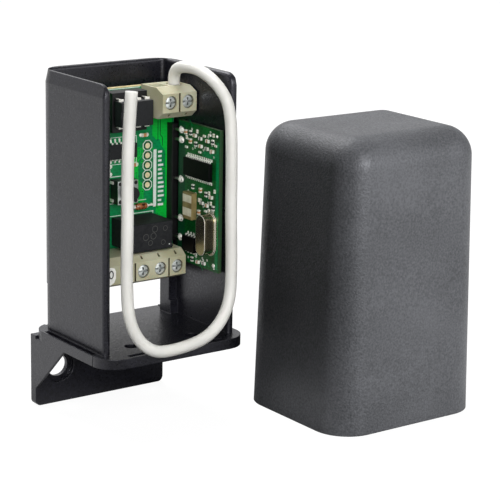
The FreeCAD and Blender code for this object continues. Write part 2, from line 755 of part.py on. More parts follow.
def make_relay():
    half_x, half_z = relay_length / 2, relay_width / 2
    inner_x, inner_z = half_x - relay_wall, half_z - relay_wall
    case = box(-half_x, half_x, -relay_height, 0, -half_z, half_z)
    case = case.makeFillet(0.35, edges_where(case, lambda edge: edge.BoundBox.YMax < -relay_height + 0.01))
    case = case.cut(box(-inner_x, inner_x, -(relay_height - relay_wall), 1, -inner_z, inner_z))
    base = box(-inner_x, inner_x, -relay_base_thickness, 0, -inner_z, inner_z)
    coil_radius = relay_coil_diameter / 2
    coil_depth = relay_base_thickness + coil_radius
    core = cylinder((-relay_coil_length / 2 - 1, -coil_depth, 0), (1, 0, 0), 0.8, relay_coil_length + 2)
    coil = cylinder((-relay_coil_length / 2, -coil_depth, 0), (1, 0, 0), coil_radius, relay_coil_length).cut(core)
    pins = []
    for x in (-relay_pin_spacing, 0, relay_pin_spacing):
        for z in (-relay_pin_spacing / 2, relay_pin_spacing / 2):
            pins.append(cylinder((x, -relay_base_thickness - 0.6, z), (0, 1, 0), 0.3,
                                 relay_base_thickness + 0.6 + board_thickness + solder_pin_beyond))
    base = base.cut(joined(pins))
    coil = coil.cut(joined(pins))
    centre = (relay_centre_x, relay_centre_z)
    placed_pins = on_main_board(group(pins), *centre)
    save("relay_case", on_main_board(case, *centre))
    save("relay_base", on_main_board(base, *centre))
    save("relay_coil", on_main_board(coil, *centre))
    save("relay_core", on_main_board(core, *centre))
    save("relay_pins", placed_pins)
    return placed_pins.Solids


def make_diode():
    radius = diode_diameter / 2
    half_span = diode_lead_span / 2
    lead_radius = diode_lead_diameter / 2
    leads = []
    for side in (-1, 1):
        start = side * diode_length / 2
        along = cylinder((start, -radius, 0), (side, 0, 0), lead_radius, half_span - diode_length / 2)
        down = cylinder((side * half_span, -radius, 0), (0, 1, 0), lead_radius,
                        radius + board_thickness + solder_pin_beyond)
        elbow = Part.makeSphere(lead_radius, V(side * half_span, -radius, 0))
        leads.append(joined([along, down, elbow]).removeSplitter())
    glass = cylinder((-diode_length / 2, -radius, 0), (1, 0, 0), radius, diode_length)
    placed_leads = on_main_board(group(leads), diode_centre_x, diode_centre_z)
    save("diode_glass", on_main_board(glass, diode_centre_x, diode_centre_z))
    save("diode_leads", placed_leads)
    return placed_leads.Solids


def make_power_parts():
    can = cylinder((0, 0, 0), (0, -1, 0), capacitor_diameter / 2, capacitor_height)
    save("smoothing_capacitor", on_main_board(can, capacitor_x, capacitor_z))
    half = regulator_size / 2
    save("voltage_regulator", on_main_board(box(-half, half, -regulator_thickness, 0, -half * 0.55, half * 0.55),
                                            regulator_x, regulator_z))
    parts = [on_main_board(box(-passive_length / 2, passive_length / 2, -passive_thickness, 0,
                               -passive_width / 2, passive_width / 2), x, z) for x, z in passive_places]
    save("board_passives", group(parts))


# Radio board: pieces are drawn on a face at Y = 0 and turned to face -X.
def on_radio_board(shape, y, z):
    placed = shape.copy()
    placed.rotate(V(0, 0, 0), V(0, 0, 1), -90)
    placed.translate(V(radio_face, y, z))
    return placed


def make_radio_board():
    board = box(radio_face, radio_face + radio_thickness, radio_back - radio_depth, radio_back,
                radio_bottom, radio_bottom + radio_height)
    save("radio_board", board)
    chip, leads = flat_chip(radio_chip_length, radio_chip_width, radio_chip_thickness, radio_chip_pin_count,
                            radio_chip_length / radio_chip_pin_count, radio_chip_reach)
    place = (radio_chip_back - radio_chip_length / 2, radio_chip_bottom + radio_chip_width / 2)
    save("radio_chip", on_radio_board(chip, *place))
    save("radio_chip_leads", on_radio_board(leads, *place))
    memory, memory_leads = flat_chip(memory_length, memory_width, memory_thickness, memory_pin_count,
                                     memory_length / memory_pin_count, memory_reach)
    place = (memory_back - memory_length / 2, memory_bottom + memory_width / 2)
    save("memory_chip", on_radio_board(memory, *place))
    save("memory_chip_leads", on_radio_board(memory_leads, *place))
    half = filter_depth / 2
    ceramic = box(-half, half, -filter_thickness, 0, 0, filter_height)
    save("ceramic_filter", on_radio_board(ceramic, filter_back - half, filter_bottom))
    save("crystal", on_radio_board(make_crystal(), crystal_y, crystal_z))
    parts = [on_radio_board(box(-0.55, 0.55, -passive_thickness, 0, -0.35, 0.35), y, z)
             for y, z in radio_passive_places]
    save("radio_passives", group(parts))


def oval(length, width, low, high):
    radius = width / 2
    reach = length / 2 - radius
    middle = box(-radius, radius, -high, -low, -reach, reach)
    ends = [cylinder((0, -low, side * reach), (0, -1, 0), radius, high - low) for side in (-1, 1)]
    return middle.fuse(ends).removeSplitter()


def make_crystal():
    can = oval(crystal_length, crystal_width, 0, crystal_height)
    rim = oval(crystal_length + 2 * crystal_rim, crystal_width + 2 * crystal_rim, 0, crystal_rim_thickness)
    return can.fuse(rim).removeSplitter()


def make_header():
    top = header_top_pin + header_pitch / 2
    bottom = header_top_pin - (max(header_used) + 0.5) * header_pitch
    half = header_width / 2
    body = box(header_centre - half, header_centre + half, board_front - header_height, board_front, bottom, top)
    pins = []
    for number in header_used:
        z = header_top_pin - number * header_pitch
        pins.append(box(header_centre - header_pin / 2, header_centre + header_pin / 2, header_pin_reach,
                        board_back + solder_pin_beyond, z - header_pin / 2, z + header_pin / 2))
    save("radio_header", body.cut(joined(pins)))
    save("radio_header_pins", group(pins))
    return pins


def make_main_board(pins):
    board = box(-board_half_width, board_half_width, board_front, board_back, board_bottom,
                board_bottom + board_height)
    for pin in pins:
        board = board.cut(pin)
    save("main_board", board)


# Antenna wire: straight runs joined by arcs that meet them smoothly.
def wire_path(points):
    edges = []
    here = points[0]
    for before, at, after in zip(points, points[1:], points[2:]):
        run_in, run_out = at - before, after - at
        turn = run_in.getAngle(run_out)
        setback = 0.45 * min(run_in.Length, run_out.Length)
        radius = setback / math.tan(turn / 2)
        start = at - run_in.normalize() * setback
        end = at + run_out.normalize() * setback
        inward = (start - at) + (end - at)
        centre_distance = math.hypot(radius, setback)
        middle = at + inward.normalize() * (centre_distance - radius)
        edges.append(Part.LineSegment(here, start).toShape())
        edges.append(Part.Arc(start, middle, end).toShape())
        print("antenna bend radius", round(radius, 1), "turn", round(math.degrees(turn)))
        here = end
    edges.append(Part.LineSegment(here, points[-1]).toShape())
    return Part.Wire(edges)


def sweep(path, start, direction, radius):
    ring = Part.Wire([Part.makeCircle(radius, start, direction)])
    return path.makePipeShell([ring], True, False)


def make_antenna():
    start = V(antenna_pole_x, board_front - wire_depth, antenna_screw_height + wire_hold)
    direction = V(*wire_first_rise)
    path = wire_path([start, start + direction] + [V(antenna_pole_x + x, y, z) for x, y, z in wire_route])
    jacket = sweep(path, start, direction, wire_diameter / 2)
    core = sweep(path, start, direction, wire_core_diameter / 2)
    for name, solid, diameter in (("jacket", jacket, wire_diameter), ("core", core, wire_core_diameter)):
        expected = path.Length * math.pi * diameter ** 2 / 4
        print("antenna", name, "length", round(path.Length, 1), "volume over section times length",
              round(solid.Volume / expected, 4))
    bare_end = antenna_screw_height - contact_reach
    bare = cylinder((start.x, start.y, bare_end), (0, 0, 1), wire_core_diameter / 2, start.z - bare_end)
    save("antenna_wire", jacket.cut(core))
    save("antenna_wire_core", core.fuse(bare).removeSplitter())


# Cap
def cap_outline(inset, z):
    """Outline at a height above the rim, set in from the outside. The inside of the back is upright."""
    draft = cap_draft * z
    half = base_half_width + cap_overhang - inset - draft
    front = base_front - cap_overhang + inset + draft
    if inset < cap_wall:
        radius = cap_corner_radius - inset - draft
        back = half_depth + cap_back_gap + cap_back_wall - inset - draft
    else:
        radius = cap_inner_corner_radius - draft
        back = half_depth + cap_back_gap
    return rounded_wire(-half, half, front, back, z, radius, radius)


def drafted(inset, low, high):
    return Part.makeLoft([cap_outline(inset, low), cap_outline(inset, high)], True, True)


def round_top(solid, top, radius):
    return solid.makeFillet(radius, edges_where(solid, lambda edge: edge.BoundBox.ZMin > top - 0.01))


def make_cap():
    outer = round_top(drafted(0, 0, cap_height), cap_height, cap_top_radius)
    ceiling = cap_height - cap_top
    inner = round_top(drafted(cap_wall, -1, ceiling), ceiling, cap_inner_top_radius)
    shell = outer.cut(inner)
    band_inner_half = half_width + rim_gap
    band_front = base_front + front_slot_setback + slot_width - rim_gap
    band_back = half_depth + cap_back_gap
    band = cap_outline(cap_wall / 5, 0)
    ring = Part.Face(band).extrude(V(0, 0, rim_band))
    ring = ring.cut(rounded_block(-band_inner_half, band_inner_half, band_front, band_back, -1, rim_band + 1,
                                  rim_front_corner_radius, back_corner_radius + rim_gap))
    seat_half = base_half_width + rim_gap
    seat = rounded_block(-seat_half, seat_half, base_front - rim_gap, half_depth + cap_back_gap, -1,
                         rim_slot_depth, base_front_radius + rim_gap, base_back_radius + rim_gap)
    tongue_side = side_slot_length - 2 * rim_gap
    tongues = [box(-half_width - slot_width + rim_gap, half_width + slot_width - rim_gap,
                   side_slot_centre - tongue_side / 2, side_slot_centre + tongue_side / 2, -2, rim_slot_depth + 1),
               box(-front_slot_length / 2 + rim_gap, front_slot_length / 2 - rim_gap,
                   base_front + front_slot_setback + rim_gap, 0, -2, rim_slot_depth + 1)]
    cap = shell.fuse(ring).cut(seat.cut(joined(tongues))).removeSplitter()
    centre_y = (base_front - cap_overhang + half_depth + cap_back_gap + cap_back_wall) / 2
    cap.translate(V(cap_stand_x, cap_stand_y - centre_y, cap_stand_z))
    save("cover", cap)


os.makedirs("parts", exist_ok=True)
save("chassis", make_chassis())
pins = make_terminals()
make_label()
pins += make_socketed_chip()
make_logic_chip()
pins += make_button()
pins += make_relay()
pins += make_diode()
make_power_parts()
make_radio_board()
pins += make_header()
make_main_board(pins)
make_antenna()
make_cap()
print("wall plane origin", [round(c, 3) for c in origin])
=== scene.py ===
import json
import math
import random

import bmesh
import bpy
from mathutils import Matrix, Vector

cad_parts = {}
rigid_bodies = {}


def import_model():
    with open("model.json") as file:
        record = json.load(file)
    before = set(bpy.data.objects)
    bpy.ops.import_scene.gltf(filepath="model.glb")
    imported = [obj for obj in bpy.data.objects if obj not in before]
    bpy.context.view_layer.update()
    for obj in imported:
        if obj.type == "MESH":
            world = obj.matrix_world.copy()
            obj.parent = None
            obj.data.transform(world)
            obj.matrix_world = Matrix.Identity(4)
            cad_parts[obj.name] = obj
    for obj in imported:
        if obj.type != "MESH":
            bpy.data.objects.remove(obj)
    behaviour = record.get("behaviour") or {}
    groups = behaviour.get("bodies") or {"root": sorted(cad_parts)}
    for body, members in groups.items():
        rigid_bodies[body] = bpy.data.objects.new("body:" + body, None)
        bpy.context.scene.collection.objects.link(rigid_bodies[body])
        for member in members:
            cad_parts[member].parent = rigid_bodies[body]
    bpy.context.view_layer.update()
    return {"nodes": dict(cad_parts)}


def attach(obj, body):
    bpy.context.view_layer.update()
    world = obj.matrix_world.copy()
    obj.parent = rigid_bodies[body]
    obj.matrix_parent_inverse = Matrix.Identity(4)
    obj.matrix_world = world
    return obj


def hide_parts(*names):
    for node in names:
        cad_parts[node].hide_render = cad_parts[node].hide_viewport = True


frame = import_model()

nodes = frame["nodes"]
chassisBody = "receiver"

# Sizes are in millimetres from the middle of the base plate's top: x right, y back, z up.
toFrame = Matrix.Scale(0.001, 4) @ Matrix.Translation((1.875, -15.9, 11.16))
boardFace = 8.36            # front of the upright board, depth
radioFace = 15.9            # parts side of the radio board, across
outOfBoard = (0, -1, 0)
intoRoom = (-1, 0, 0)


def place(x, y, z):
    return toFrame @ Vector((x, y, z))


def addObject(name, data):
    made = bpy.data.objects.new(name, data)
    bpy.context.scene.collection.objects.link(made)
    return made


cameraSettings = {
    "position": (-254.279, -392.824, 140.901),
    "turn": 36.425, "down": 14.376, "roll": 1.18,
    "lens": 138.53,
}


def addCamera(position, turn, down, roll, lens):
    turn, down, roll = (math.radians(angle) for angle in (turn, down, roll))
    ahead = Vector((math.sin(turn) * math.cos(down), math.cos(turn) * math.cos(down),
                    -math.sin(down)))
    level = Vector((math.cos(turn), -math.sin(turn), 0))
    over = level.cross(ahead)
    right = math.cos(roll) * level + math.sin(roll) * over
    up = math.cos(roll) * over - math.sin(roll) * level
    view = bpy.data.cameras.new("photoCamera")
    view.lens = lens
    view.sensor_width = 36
    view.sensor_fit = "HORIZONTAL"
    view.clip_start = 0.01
    camera = addObject("photoCamera", view)
    turned = Matrix((right, up, -ahead)).transposed().to_4x4()
    camera.matrix_world = Matrix.Translation(place(*position)) @ turned
    bpy.context.scene.camera = camera


addCamera(**cameraSettings)
print("camera set")


# Materials. Tones are given as they look on a screen, lengths in metres.
def tone(red, green, blue):
    def linear(value):
        value = value / 255
        return value / 12.92 if value <= 0.04045 else ((value + 0.055) / 1.055) ** 2.4
    return (linear(red), linear(green), linear(blue), 1)


# Tones of painted shade in slots and hollows
plasticHollowShade = tone(72, 62, 38)
metalHollowShade = tone(22, 26, 24)
# Tone of the painted highlight on metal edges
paintedEdgeLight = tone(255, 252, 242)


def addNode(tree, kind, inputs=None, **settings):
    made = tree.nodes.new(kind)
    for key, value in settings.items():
        setattr(made, key, value)
    for key, value in (inputs or {}).items():
        if isinstance(value, bpy.types.NodeSocket):
            tree.links.new(value, made.inputs[key])
        else:
            made.inputs[key].default_value = value
    return made


def reckon(tree, first, second, operation="ADD"):
    return addNode(tree, "ShaderNodeMath", {0: first, 1: second}, operation=operation).outputs[0]


def blendTones(tree, factor, first, second):
    return addNode(tree, "ShaderNodeMix", {0: factor, 6: first, 7: second},
                   data_type="RGBA").outputs[2]


def spread(tree, value, low, high, start=0.3, end=0.7):
    return addNode(tree, "ShaderNodeMapRange", {"Value": value, "From Min": start, "From Max": end,
                                                "To Min": low, "To Max": high}).outputs[0]


def noise(tree, where, scale, detail):
    return addNode(tree, "ShaderNodeTexNoise", {"Vector": where, "Scale": scale,
                                                "Detail": detail}).outputs[0]


# A wave texture of scale 1 repeats every 2 pi / 20.
def bands(tree, where, pitch, axis, distortion, detail):
    scale = 2 * math.pi / (20 * pitch)
    return addNode(tree, "ShaderNodeTexWave", {"Vector": where, "Scale": scale, "Detail": detail,
                                               "Distortion": distortion},
                   bands_direction=axis).outputs[1]


# Painted shade: slots, corners and hollows are darkened towards a shade tone by ambient occlusion.
def paintHollowShade(tree, colour, distance, shadeTone):
    corner = addNode(tree, "ShaderNodeAmbientOcclusion", {"Distance": distance},
                     samples=8).outputs["AO"]
    return blendTones(tree, spread(tree, corner, 0, 1, 0.25, 0.8), shadeTone, colour)


# Shader inputs that a material sets besides
shaderInputs = {
    "chassisPlastic": {"Specular IOR Level": 0.46, "Specular Tint": (0.93, 0.93, 1, 1)},
    "capPlastic": {"Specular IOR Level": 0.38, "Specular Tint": (0.93, 0.94, 1, 1)},
    "terminalBeige": {"Subsurface Weight": 0.08, "Subsurface Scale": 0.0008},
    "blackHousing": {"Specular IOR Level": 0.3}, "chipBlack": {"Specular IOR Level": 0.3},
    "chipDark": {"Specular IOR Level": 0.1}, "relayBlack": {"Specular IOR Level": 0.12},
    "wireJacket": {"Subsurface Weight": 0.9, "Subsurface Scale": 0.003,
                   "Subsurface Radius": (1, 1, 1)},
    "diodeGlass": {"Transmission Weight": 0.35, "Coat Weight": 0.6, "Coat Roughness": 0.05},
    "screwZinc": {"Metallic": 0.55}, "tinBright": {"Metallic": 0.2}, "padTin": {"Metallic": 0.15},
}
shades = {}                 # every material by its name


def startMaterial(name, fixed):
    shades[name] = bpy.data.materials.new(name)
    shades[name].use_nodes = True
    tree = shades[name].node_tree
    shader = tree.nodes["Principled BSDF"]
    for key, value in {**fixed, **shaderInputs.get(name, {})}.items():
        shader.inputs[key].default_value = value
    return tree, shader, tree.nodes.new("ShaderNodeTexCoord").outputs["Object"]


# The relief lies on top of edges whose shading is rounded by a small radius.
def finishMaterial(tree, shader, colour, roughness, height, strength, depth, edge=0.0):
    relief = addNode(tree, "ShaderNodeBump", {"Height": height, "Strength": strength,
                                              "Distance": depth})
    if edge:
        rounded = addNode(tree, "ShaderNodeBevel", {"Radius": edge}, samples=6).outputs[0]
        tree.links.new(rounded, relief.inputs["Normal"])
    for label, value in (("Base Color", colour), ("Roughness", roughness),
                         ("Normal", relief.outputs[0])):
        tree.links.new(value, shader.inputs[label])


# Two tones in a soft noise, and a fine grain in the roughness and the bump.
def grainMaterial(name, first, second, patch=900, grain=6000, roughness=(0.4, 0.5), bump=0.2,
                  depth=0.00005, edge=0.0, mottle=0.0, hollowShadeReach=0.0):
    tree, shader, where = startMaterial(name, {})
    fine = noise(tree, where, grain, 3.0)
    factor = spread(tree, noise(tree, where, patch, 5.0), 0, 1)
    if mottle:
        broad = noise(tree, where, mottle, 3.0)
        factor = reckon(tree, factor, spread(tree, broad, -0.35, 0.35))
    colour = blendTones(tree, factor, tone(*first), tone(*second))
    # painted shade in slots and corners
    if hollowShadeReach:
        colour = paintHollowShade(tree, colour, hollowShadeReach, plasticHollowShade)
    finishMaterial(tree, shader, colour, spread(tree, fine, *roughness), fine, bump, depth, edge)


# Solder mask over glass cloth: the cloth shows as a faint weave under the green.
def maskMaterial(name, first, second, weave=0.0008):
    fixed = {"Specular IOR Level": 0.3, "Coat Weight": 0.08, "Coat Roughness": 0.15}
    tree, shader, where = startMaterial(name, fixed)
    warp, weft = (bands(tree, where, weave, axis, 0.6, 1.0) for axis in ("Z", "DIAGONAL"))
    cloth = reckon(tree, warp, weft, "MULTIPLY")
    mixed = reckon(tree, noise(tree, where, 260.0, 4.0), spread(tree, cloth, 0, 0.25, 0, 1))
    factor = spread(tree, mixed, 0, 1, 0.35, 0.85)
    finishMaterial(tree, shader, blendTones(tree, factor, tone(*first), tone(*second)),
                   spread(tree, mixed, 0.32, 0.46), cloth, 0.15, 0.00002)


# Metal with drawn lines along one axis. Glint is the radius of a painted highlight on edges: they
# are lightened to near white and made less metallic.
def drawnMetal(name, first, second, lines, roughness, stretch=(1, 1, 1), edge=0.0, hollowShadeReach=0.0,
               glint=0.0):
    tree, shader, where = startMaterial(name, {"Metallic": 1.0})
    mapped = addNode(tree, "ShaderNodeMapping", {"Vector": where, "Scale": stretch}).outputs[0]
    cloud = noise(tree, mapped, lines, 6.0)
    factor = spread(tree, cloud, 0, 1, 0.35, 0.65)
    colour = blendTones(tree, factor, tone(*first), tone(*second))
    # painted shade in slots and hollows
    if hollowShadeReach:
        colour = paintHollowShade(tree, colour, hollowShadeReach, metalHollowShade)
    # painted highlight along the edges
    if glint:
        rounded = addNode(tree, "ShaderNodeBevel", {"Radius": glint}, samples=8).outputs[0]
        flat = tree.nodes.new("ShaderNodeNewGeometry").outputs["True Normal"]
        turned = addNode(tree, "ShaderNodeVectorMath", {0: rounded, 1: flat},
                         operation="DOT_PRODUCT").outputs["Value"]
        colour = blendTones(tree, spread(tree, turned, 1, 0, 0.9, 0.99), colour, paintedEdgeLight)
        tree.links.new(spread(tree, turned, 0.2, 1, 0.9, 0.99), shader.inputs["Metallic"])
    finishMaterial(tree, shader, colour, spread(tree, cloud, *roughness), cloud, 0.25, 0.00002,
                   edge)


# Enamelled winding: bands along the coil, one for each turn of wire.
def windingMaterial(turnPitch=0.00016):
    tree, shader, where = startMaterial("coilCopper", {"Metallic": 1.0, "Coat Weight": 0.4})
    turns = bands(tree, where, turnPitch, "X", 0.4, 2.0)
    finishMaterial(tree, shader, blendTones(tree, turns, tone(120, 56, 26), tone(212, 118, 66)),
                   spread(tree, turns, 0.2, 0.4, 0, 1), turns, 0.8, 0.00008)


# Two tones, sizes of patches and grain, roughness, bump and its depth, rounding, mottling, and how
# far painted shade in hollows reaches
grainLooks = {
    # The chassis and the cap are one charcoal plastic: the gap between the chassis's near-black
    # tones and the cap's grey ones is painted light and shade.
    "chassisPlastic": [(5, 5, 8), (22, 22, 29), 1500, 2100, (0.24, 0.42), 0.8, 0.00004, 0.0003, 90],
    "capPlastic": [(50, 51, 53), (77, 78, 81), 1900, 2300, (0.42, 0.62), 0.9, 0.0001, 0.0003, 45],
    # the beige has painted shade in its slots and between its blocks
    "terminalBeige": [(182, 180, 156), (160, 157, 127), 160, 3500, (0.38, 0.52), 0.2, 0.00003,
                      0.00014, 0.0, 0.0009],
    "blackHousing": [(7, 7, 8), (15, 15, 16), 300, 5200, (0.4, 0.55), 0.3],
    "chipBlack": [(11, 12, 15), (20, 22, 25), 1800, 9000, (0.5, 0.64), 0.5, 0.00003],
    "chipDark": [(4, 4, 5), (9, 9, 10), 1500, 9000, (0.4, 0.5), 0.3, 0.00003],
    "relayBlack": [(25, 26, 28), (38, 39, 41), 1200, 6000, (0.5, 0.64), 0.3, 0.00004, 0.00028],
    "relayMark": [(52, 53, 52), (64, 64, 62), 500, 6000, (0.5, 0.6), 0.1],
    "wireJacket": [(214, 213, 208), (200, 199, 194), 90, 2600, (0.4, 0.5), 0.2, 0.00004],
    "labelWhite": [(246, 245, 241), (238, 237, 231), 400, 7000],
    "labelInk": [(22, 22, 24), (32, 32, 34), 500, 7000, (0.45, 0.6), 0.1],
    "silkWhite": [(226, 230, 226), (204, 210, 204), 1200, 9000, (0.5, 0.65), 0.3],
    "laminate": [(196, 182, 138), (160, 142, 96), 900, 6000, (0.55, 0.7), 0.5],
    "laminateDark": [(8, 66, 34), (40, 62, 30), 900, 6000, (0.55, 0.7), 0.5],
    "capacitorTan": [(196, 138, 92), (168, 112, 74), 900, 6000, (0.35, 0.5)],
    "resistorBlack": [(24, 24, 28), (36, 36, 40), 900, 6000, (0.35, 0.5)],
    "paleCeramic": [(214, 206, 190), (196, 186, 164)],
    "filterTan": [(140, 126, 84), (108, 94, 58), 500, 6000, (0.3, 0.42)],
    "filterBand": [(222, 217, 196), (196, 189, 164), 700, 6000, (0.35, 0.45)],
    "diodeGlass": [(214, 132, 78), (30, 16, 10), 1100, 5000, (0.08, 0.16), 0.1],
}
# Two tones, and the pitch of the cloth where it isn't the usual one
maskLooks = {
    "maskBright": [(0, 180, 58), (0, 156, 46)],
    "maskMiddle": [(0, 132, 74), (0, 104, 56)],
    "maskDark": [(4, 66, 36), (3, 50, 26)],
    "maskRadio": [(0, 96, 34), (0, 46, 14), 0.0007],
}
# Two tones, size of the lines, roughness, stretch of the lines, rounding, how far painted shade in
# hollows reaches, and the radius of the painted edge highlight
metalLooks = {
    # the screw heads have painted shade in their slots
    "screwZinc": [(236, 240, 237), (196, 204, 202), 900, (0.16, 0.34), (1, 1, 1), 0.0, 0.0007],
    "clampZinc": [(196, 200, 198), (160, 164, 160), 700, (0.28, 0.45)],
    "tinBright": [(244, 243, 236), (222, 220, 210), 1400, (0.22, 0.4)],
    "padTin": [(238, 226, 188), (216, 202, 160), 1400, (0.25, 0.4)],
    # header pins: tin in a darker tone, painted shade
    "pinTinShaded": [(150, 150, 144), (120, 120, 114), 1400, (0.3, 0.45)],
    "buttonSteel": [(206, 210, 208), (176, 180, 178), 500, (0.25, 0.4), (1, 1, 8)],
    "domeSteel": [(200, 200, 196), (170, 170, 166), 600, (0.2, 0.32)],
    # the crystal's can has a painted highlight on its rims
    "crystalMetal": [(196, 186, 158), (152, 142, 114), 260, (0.18, 0.3), (1, 1, 0.15), 0.0003, 0.0,
                     0.00022],
    "capacitorMetal": [(204, 206, 208), (180, 182, 184), 500, (0.2, 0.34), (1, 0.2, 1)],
    "coreCopper": [(206, 130, 88), (172, 96, 58), 900, (0.2, 0.36)],
}
for makeMaterial, looks in ((grainMaterial, grainLooks), (maskMaterial, maskLooks),
                            (drawnMetal, metalLooks)):
    for name, look in looks.items():
        makeMaterial(name, *look)
windingMaterial()
print("materials made")


# Making pieces
def finishPiece(name, mesh, replaced=(), materials=(), body=chassisBody):
    for material in materials:
        mesh.materials.append(shades[material])
    piece = addObject(name, mesh)
    if replaced:
        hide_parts(*replaced)
    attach(piece, body)
    return piece


def smoothBelow(mesh, angle):
    form = bmesh.new()
    form.from_mesh(mesh)
    for edge in form.edges:
        edge.smooth = len(edge.link_faces) == 2 and edge.calc_face_angle(0) < math.radians(angle)
    for face in form.faces:
        face.smooth = True
    form.to_mesh(mesh)
    form.free()


def meshPiece(name, form, materials, replaced=(), smooth=40):
    mesh = bpy.data.meshes.new(name)
    bmesh.ops.recalc_face_normals(form, faces=form.faces)
    form.to_mesh(mesh)
    form.free()
    mesh.transform(toFrame)
    if smooth:
        smoothBelow(mesh, smooth)
    return finishPiece(name, mesh, replaced, materials)


# Joins flat neighbours into one face, and leaves short bridges where the flat has a hole.
def joinFlats(form, flatness=0.01):
    form.normal_update()
    inner = [edge for edge in form.edges
             if len(edge.link_faces) == 2 and edge.calc_face_angle(9) < flatness]
    for edge in sorted(inner, key=lambda item: -item.calc_length()):
        if not edge.is_valid or len(edge.link_faces) != 2:
            continue
        one, two = edge.link_faces
        shared = [item for item in one.edges if two in item.link_faces]
        chain = {vertex for item in shared for vertex in item.verts}
        if len(chain) == len(shared) + 1 and chain == set(one.verts) & set(two.verts):
            bmesh.utils.face_join([one, two])


# A merged copy of a node's mesh with its sharp edges rounded, which stands for the node.
def roundedCopy(nodeName, name, slotName, material, rounding, segments=2, body=chassisBody):
    mesh = nodes[nodeName].data.copy()
    form = bmesh.new()
    form.from_mesh(mesh)
    bmesh.ops.remove_doubles(form, verts=form.verts, dist=0.000002)
    bmesh.ops.dissolve_degenerate(form, edges=form.edges, dist=0.000001)
    joinFlats(form)
    form.to_mesh(mesh)
    form.free()
    mesh.materials.clear()
    for face in mesh.polygons:
        face.material_index = 0
    smoothBelow(mesh, 180)
    piece = finishPiece(name, mesh, [nodeName], [material], body)
    bevel = piece.modifiers.new("edgeRounding", "BEVEL")
    bevel.width = rounding / 1000
    bevel.segments = segments
    bevel.limit_method = "ANGLE"
    bevel.angle_limit = math.radians(38)
    bevel.use_clamp_overlap = False
    bevel.loop_slide = False
    piece.modifiers.new("evenShading", "WEIGHTED_NORMAL").weight = 50


def dressNode(nodeName, material):
    node = nodes[nodeName]
    for slot in node.material_slots:
        slot.material = shades[material]
    if not node.material_slots:
        node.data.materials.append(shades[material])


def rectangle(u0, v0, u1, v1):
    return [(u0, v0), (u1, v0), (u1, v1), (u0, v1)]


def circle(sides, turn=0.0):
    angles = [2 * math.pi * k / sides + turn for k in range(sides)]
    return [(math.cos(angle), math.sin(angle)) for angle in angles]


# Flat work on a face, in closed slabs. Heights count from the base, and every slab is a hair
# higher than the one before, so that crossing slabs never share a plane.
class BoardArt:
    hair = 0.0002
    cycle = 40

    def __init__(self, toPoint, base=0.0):
        self.form = bmesh.new()
        self.toPoint = toPoint
        self.base = base
        self.slabs = 0

    def slab(self, outline, shade, high, low=0.0):
        self.slabs = (self.slabs + 1) % self.cycle
        under, over = ([self.form.verts.new(self.toPoint(u, v, height)) for u, v in outline]
                       for height in (self.base + low, self.base + high + self.hair * self.slabs))
        faces = [self.form.faces.new(under), self.form.faces.new(over)]
        for k in range(len(outline)):
            after = (k + 1) % len(outline)
            faces.append(self.form.faces.new((under[k], under[after], over[after], over[k])))
        for face in faces:
            face.material_index = shade

    def disc(self, u, v, radius, shade, high, low=0.0, sides=12):
        self.slab([(u + radius * a, v + radius * b) for a, b in circle(sides, math.pi / sides)],
                  shade, high, low)

    def ring(self, u, v, outer, inner, shade, high, low, sides, wide=1.0):
        innerWide = wide * outer - outer + inner
        points = circle(sides, math.pi / sides)
        for (a, b), (c, d) in zip(points, points[1:] + points[:1]):
            self.slab([(u + wide * outer * a, v + outer * b), (u + wide * outer * c, v + outer * d),
                       (u + innerWide * c, v + inner * d), (u + innerWide * a, v + inner * b)],
                      shade, high, low)

    def track(self, points, width, shade, high, low=0.0):
        for (u0, v0), (u1, v1) in zip(points, points[1:]):
            length = math.hypot(u1 - u0, v1 - v0)
            a, b = (v1 - v0) / length * width / 2, -(u1 - u0) / length * width / 2
            self.slab([(u0 + a, v0 + b), (u1 + a, v1 + b), (u1 - a, v1 - b), (u0 - a, v0 - b)],
                      shade, high, low)
        for u, v in points:
            self.disc(u, v, width / 2, shade, high, low, 8)

    # A plated hole: a ring of one shade with a dark middle.
    def plated(self, u, v, outer, inner, shade, rise):
        self.disc(u, v, outer, shade, 0.03, 0.0, 10)
        self.disc(u, v, inner, holeShade, rise, 0.0, 8)

    def finish(self, name, materials, replaced=()):
        meshPiece(name, self.form, materials, replaced, 0)


maskShade, trackShade, silkShade, holeShade, tinShade = range(5)    # order of a board's materials
backMask = 0.03             # thickness of the mask on a board's far side


